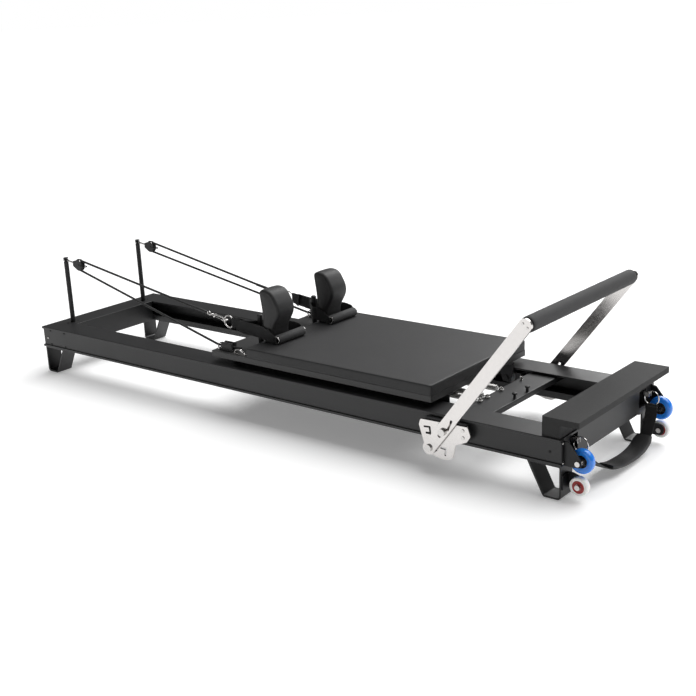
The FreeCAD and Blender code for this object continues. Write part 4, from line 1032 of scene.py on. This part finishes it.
def make_footbar_sleeve():
    """The foam sleeve of the footbar, with softly rounded ends and a slightly uneven skin."""
    low, high = (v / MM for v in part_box("footbar_tube"))
    x, z = (low.x + high.x) / 2, (low.z + high.z) / 2
    shape = Shape()
    rows = [(15.1, -320.6), (19, -321), (22.6, -319.8), (24.2, -317)]
    rows += [(24.5 - 0.12 * (k % 3), -310 + 620 * k / 30) for k in range(31)]
    rows += [(24.2, 317), (22.6, 319.8), (19, 321), (15.1, 320.6)]
    shape.turned(rows, (x, 0, z), (0, 1, 0), 48, closed=True)
    sleeve = shape.finish("footbar_foam_sleeve", ["black_foam"], "black_foam")
    stands_for(sleeve, "footbar", "footbar_foam")


def make_end_wheels():
    """Blue skate wheels with spoked black hubs, and white castors with dark red hubs."""
    for name, side in SIDES:
        axis = (0, side, 0)
        centre = Vector((1197, side * 261, 124))
        tyre = Shape()
        tyre.turned([(19.6, -9.6), (25, -11), (30, -12), (33.5, -11.6), (36, -10), (37.4, -7), (38, -3.5), (38, 3.5),
                     (37.4, 7), (36, 10), (33.5, 11.6), (30, 12), (25, 11), (19.6, 9.6)], centre, axis, 64, closed=True)
        stands_for(tyre.finish("blue_tyre_" + name, ["blue_wheel"], "blue_wheel"), "blue_" + name,
                   "blue_wheel_" + name)
        hub = Shape()
        hub.turned([(8.6, -10), (11.5, -10), (12.4, -8.8), (12.4, -3), (18, -3), (18, -9.2), (19.8, -9.8), (19.8, 9.8),
                    (18, 9.2), (18, 3), (12.4, 3), (12.4, 8.8), (11.5, 10), (8.6, 10)], centre, axis, 48, closed=True)
        for k in range(6):
            angle = math.tau * (k + 0.5) / 6
            out = Vector((math.cos(angle), 0, math.sin(angle)))
            for face in (-1, 1):
                points = [centre + out * r + Vector((0, face * 5.6, 0)) for r in (11.5, 15, 18.8)]
                hub.swept(points, [(-1.6, -3.2), (1.6, -3.2), (1.6, 3.2), (-1.6, 3.2)], out.cross(Vector((0, 1, 0))))
        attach(hub.finish("blue_hub_" + name, ["black_plastic"], "black_plastic"), "blue_" + name)
        bearing = Shape()
        bearing.turned([(5.1, -10.6), (8.6, -10.6), (8.6, -7), (7.6, -6.8), (7.6, 6.8), (8.6, 7), (8.6, 10.6),
                        (5.1, 10.6)],
                       centre, axis, 32, closed=True)
        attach(bearing.finish("blue_bearing_" + name, ["bright_steel"], "bright_steel"), "blue_" + name)
        centre = Vector((1195, side * 272, 49))
        tread = Shape()
        tread.turned([(19.2, -10.5), (24, -11.6), (27.5, -10.8), (29.4, -8), (30, -3.5), (30, 3.5), (29.4, 8),
                      (27.5, 10.8), (24, 11.6), (19.2, 10.5)], centre, axis, 56, closed=True)
        stands_for(tread.finish("white_tyre_" + name, ["white_wheel"], "white_wheel"), "white_" + name,
                   "white_wheel_" + name)
        core = Shape()
        core.turned([(9, -11.4), (10.6, -11.8), (12, -10.6), (15, -10.6), (17.8, -11.8), (19.4, -11), (19.4, 11),
                     (17.8, 11.8), (15, 10.6), (12, 10.6), (10.6, 11.8), (9, 11.4)], centre, axis, 48, closed=True)
        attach(core.finish("castor_hub_" + name, ["red_hub"], "white_wheel"), "white_" + name)
        race = Shape()
        race.turned([(5.1, -11), (9.1, -11), (9.1, 11), (5.1, 11)], centre, axis, 32, closed=True)
        for k in range(7):
            angle = math.tau * k / 7
            for face in (-1, 1):
                ball = centre + Vector((7.1 * math.cos(angle), face * 11, 7.1 * math.sin(angle)))
                race.turned([(0, -0.9), (0.9, -0.5), (1.1, 0), (0.9, 0.5), (0, 0.9)], ball, (0, 1, 0), 10)
        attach(race.finish("castor_bearing_" + name, ["bright_steel"], "bright_steel"), "white_" + name)


def make_foot_strap():
    """The foot strap: webbing sling, padded sleeve on its middle and the wire rings it hangs from."""
    thick = bpy.context.scene.reformer_sizes.webbing / MM
    y0, depth = 240.0, 126.0
    spots = [(-1.0, 0.0), (-0.86, 0.2), (-0.7, 0.42), (-0.52, 0.64), (-0.34, 0.82), (-0.12, 0.94),
             (0.12, 0.99), (0.36, 1.0), (0.58, 0.93), (0.76, 0.74), (0.88, 0.44), (0.94, 0.18), (0.95, 0.0)]
    line = smooth_line([(1180, y0 * a, 138 - depth * d) for a, d in spots], 5)
    across = Vector((1, 0, 0))
    webbing = Shape()
    loop_a = [Vector((1180, -y0 + 4.4 * math.cos(a), 140 + 4.4 * math.sin(a)))
              for a in [math.radians(d) for d in range(300, -70, -24)]]
    loop_b = [Vector((1180, y0 * 0.95 - 4.4 * math.cos(a), 140 + 4.4 * math.sin(a)))
              for a in [math.radians(d) for d in range(-60, 310, 24)]]
    webbing.swept([line[3] + Vector((0, 3, 1))] + loop_a + line[1:-1] + loop_b + [line[-4] + Vector((0, -3, 1))],
                  strap_section(40, thick), across)
    piece = webbing.finish("foot_strap_sling", ["black_webbing"], "black_webbing")
    stands_for(piece, "foot_strap", "foot_strap_webbing")
    run = smooth_line([(1180, y0 * a, 138 - depth * d + 7.3) for a, d in spots[4:10]], 7)
    section = []
    for k in range(28):
        angle = math.tau * k / 28
        c, s = math.cos(angle), math.sin(angle)
        section.append((31 * math.copysign(abs(c) ** 0.45, c), 5.5 * math.copysign(abs(s) ** 0.7, s)))
    widths = [min(1.0, 0.82 + 0.18 * min(i, len(run) - 1 - i) / 3) for i in range(len(run))]
    sleeve = Shape()
    sleeve.swept(run, section, across, widths=widths)
    pad = sleeve.finish("foot_strap_cushion", ["black_vinyl"], "black_vinyl")
    stands_for(pad, "foot_strap", "foot_strap_pad")
    rings = Shape()
    for y in (-240, 228):
        circle = hoop((1180, y, 164), 24, (1, 0, 0), (0, 0, 1), 40)
        rings.swept(circle, disc(2.1, 8), [Vector((0, 1, 0))] * 40, loop=True)
    stands_for(rings.finish("foot_strap_wire_rings", ["bright_steel"], "bright_steel"), "foot_strap",
               "foot_strap_rings")


# ------------------------------------------------------------------ stage
CAMERA_PLACE = (2.706, -3.111, 1.462)
CAMERA_YAW, CAMERA_PITCH, CAMERA_ROLL = 129.65, -16.98, -2.84
CAMERA_LENS = 61.4


def make_camera():
    yaw, pitch, roll = (math.radians(a) for a in (CAMERA_YAW, CAMERA_PITCH, CAMERA_ROLL))
    forward = Vector((math.cos(pitch) * math.cos(yaw), math.cos(pitch) * math.sin(yaw), math.sin(pitch)))
    level = Vector((math.sin(yaw), -math.cos(yaw), 0))
    upright = level.cross(forward)
    right = level * math.cos(roll) + upright * math.sin(roll)
    up = upright * math.cos(roll) - level * math.sin(roll)
    data = bpy.data.cameras.new("studio_camera")
    data.lens = CAMERA_LENS
    data.sensor_width = 36
    data.clip_end = 60
    camera = bpy.data.objects.new("studio_camera", data)
    matrix = Matrix((right, up, -forward)).transposed().to_4x4()
    matrix.translation = Vector(CAMERA_PLACE)
    camera.matrix_world = matrix
    bpy.context.scene.collection.objects.link(camera)
    bpy.context.scene.camera = camera


def soft_box(name, place, aim, size, watts):
    data = bpy.data.lights.new(name, "AREA")
    data.shape = "RECTANGLE"
    data.size, data.size_y = size
    data.energy = watts
    light = bpy.data.objects.new(name, data)
    light.location = place
    light.rotation_euler = (Vector(aim) - Vector(place)).to_track_quat("-Z", "Y").to_euler()
    bpy.context.scene.collection.objects.link(light)


def make_stage():
    make_camera()
    scene = bpy.context.scene
    scene.view_settings.view_transform = "Standard"
    floor = Shape()
    reach = 150000
    floor.skin([[Vector((-reach, -reach, -0.5)), Vector((reach, -reach, -0.5))],
                [Vector((-reach, reach, -0.5)), Vector((reach, reach, -0.5))]], wrap=False)
    FINISH["floor"] = start_material(
        "studio_floor_paint", Base_Color=linear("#f2f2f2"), Roughness=0.9, Emission_Color=(1, 1, 1, 1),
        Emission_Strength=0.22)[0]
    mesh = bpy.data.meshes.new("studio_floor")
    mesh.from_pydata(floor.verts, [], floor.faces)
    mesh.materials.append(FINISH["floor"])
    obj = bpy.data.objects.new("studio_floor", mesh)
    scene.collection.objects.link(obj)
    world = bpy.data.worlds.new("studio")
    world.use_nodes = True
    tree = world.node_tree
    tree.nodes.clear()
    seen = add(tree, "ShaderNodeBackground", {"Color": (1, 1, 1, 1), "Strength": 1.0})
    around = add(tree, "ShaderNodeBackground", {"Color": (1, 1, 1, 1), "Strength": 0.12})
    path = add(tree, "ShaderNodeLightPath")
    mix = add(tree, "ShaderNodeMixShader", links={0: path.outputs["Is Camera Ray"], 1: around.outputs[0],
                                                  2: seen.outputs[0]})
    add(tree, "ShaderNodeOutputWorld", links={"Surface": mix.outputs[0]})
    scene.world = world
    sun = bpy.data.lights.new("broad_top_light", "SUN")
    sun.energy, sun.angle = 3.4, math.radians(66)
    lamp = bpy.data.objects.new("broad_top_light", sun)
    lamp.rotation_euler = Vector((-0.15, -0.42, -0.9)).to_track_quat("-Z", "Y").to_euler()
    scene.collection.objects.link(lamp)
    soft_box("back_panel", (-0.3, 4.3, 2.3), (0.9, 0, 0.2), (2.0, 2.6), 62)


# ------------------------------------------------------------------ add-on
class REFORMER_OT_stage(bpy.types.Operator):
    """Camera, floor and studio light"""

    bl_idname = "reformer.stage"
    bl_label = "Stage"

    def execute(self, context):
        make_stage()
        return {"FINISHED"}


class REFORMER_OT_frame_finish(bpy.types.Operator):
    """Gives each CAD node its material"""

    bl_idname = "reformer.frame_finish"
    bl_label = "Frame finishes"

    def execute(self, context):
        finish_cad_nodes()
        return {"FINISHED"}


class REFORMER_OT_ropes(bpy.types.Operator):
    """Braided ropes over the pulleys"""

    bl_idname = "reformer.ropes"
    bl_label = "Ropes"

    def execute(self, context):
        make_ropes()
        return {"FINISHED"}


class REFORMER_OT_hooks(bpy.types.Operator):
    """Snap hooks and strap rings"""

    bl_idname = "reformer.hooks"
    bl_label = "Snap hooks"

    def execute(self, context):
        make_hooks()
        return {"FINISHED"}


class REFORMER_OT_hand_straps(bpy.types.Operator):
    """Webbing hand straps"""

    bl_idname = "reformer.hand_straps"
    bl_label = "Hand straps"

    def execute(self, context):
        make_hand_straps()
        return {"FINISHED"}


class REFORMER_OT_grips(bpy.types.Operator):
    """Foam grips of the hand straps"""

    bl_idname = "reformer.grips"
    bl_label = "Grips"

    def execute(self, context):
        make_grips()
        return {"FINISHED"}


class REFORMER_OT_screws(bpy.types.Operator):
    """Socket screws of the frame"""

    bl_idname = "reformer.screws"
    bl_label = "Screws"

    def execute(self, context):
        make_screws()
        return {"FINISHED"}


class REFORMER_OT_spring_pegs(bpy.types.Operator):
    """Knobs and studs of the spring bar"""

    bl_idname = "reformer.spring_pegs"
    bl_label = "Spring bar pegs"

    def execute(self, context):
        make_spring_bar_pegs()
        return {"FINISHED"}


class REFORMER_OT_springs(bpy.types.Operator):
    """Extension springs under the bed"""

    bl_idname = "reformer.springs"
    bl_label = "Springs"

    def execute(self, context):
        make_springs()
        return {"FINISHED"}


class REFORMER_OT_bed(bpy.types.Operator):
    """Upholstered bed"""

    bl_idname = "reformer.bed"
    bl_label = "Bed"

    def execute(self, context):
        make_bed()
        return {"FINISHED"}


class REFORMER_OT_rests(bpy.types.Operator):
    """Padded shoulder rests"""

    bl_idname = "reformer.rests"
    bl_label = "Shoulder rests"

    def execute(self, context):
        make_rests()
        return {"FINISHED"}


class REFORMER_OT_cleats(bpy.types.Operator):
    """Rope cleats on the carriage board"""

    bl_idname = "reformer.cleats"
    bl_label = "Cleats"

    def execute(self, context):
        make_cleats()
        return {"FINISHED"}


class REFORMER_OT_footbar_sleeve(bpy.types.Operator):
    """Foam sleeve of the footbar"""

    bl_idname = "reformer.footbar_sleeve"
    bl_label = "Footbar sleeve"

    def execute(self, context):
        make_footbar_sleeve()
        return {"FINISHED"}


class REFORMER_OT_end_wheels(bpy.types.Operator):
    """Blue transport wheels and white castors"""

    bl_idname = "reformer.end_wheels"
    bl_label = "End wheels"

    def execute(self, context):
        make_end_wheels()
        return {"FINISHED"}


class REFORMER_OT_foot_strap(bpy.types.Operator):
    """Foot strap with its cushion and rings"""

    bl_idname = "reformer.foot_strap"
    bl_label = "Foot strap"

    def execute(self, context):
        make_foot_strap()
        return {"FINISHED"}


OPERATORS = [
    REFORMER_OT_stage,
    REFORMER_OT_frame_finish,
    REFORMER_OT_ropes,
    REFORMER_OT_hooks,
    REFORMER_OT_hand_straps,
    REFORMER_OT_grips,
    REFORMER_OT_screws,
    REFORMER_OT_spring_pegs,
    REFORMER_OT_springs,
    REFORMER_OT_bed,
    REFORMER_OT_rests,
    REFORMER_OT_cleats,
    REFORMER_OT_footbar_sleeve,
    REFORMER_OT_end_wheels,
    REFORMER_OT_foot_strap,
]


class REFORMER_PT_panel(bpy.types.Panel):
    """Lists the reformer's settings and steps"""

    bl_idname = "REFORMER_PT_panel"
    bl_label = "Pilates reformer"
    bl_space_type = "VIEW_3D"
    bl_region_type = "UI"
    bl_category = "Reformer"

    def draw(self, context):
        for group in (context.scene.reformer_sizes, context.scene.reformer_colours):
            for name in group.__annotations__:
                self.layout.prop(group, name)
        for operator in OPERATORS:
            self.layout.operator(operator.bl_idname)


CLASSES = [ReformerColours, ReformerSizes, *OPERATORS, REFORMER_PT_panel]


def register():
    for entry in CLASSES:
        bpy.utils.register_class(entry)
    bpy.types.Scene.reformer_colours = PointerProperty(type=ReformerColours)
    bpy.types.Scene.reformer_sizes = PointerProperty(type=ReformerSizes)


def unregister():
    del bpy.types.Scene.reformer_sizes
    del bpy.types.Scene.reformer_colours
    for entry in reversed(CLASSES):
        bpy.utils.unregister_class(entry)


def main():
    register()
    FINISH.update(make_finishes())
    for operator in OPERATORS:
        getattr(bpy.ops.reformer, operator.bl_idname.split(".")[1])()


if __name__ == "__main__":
    main()
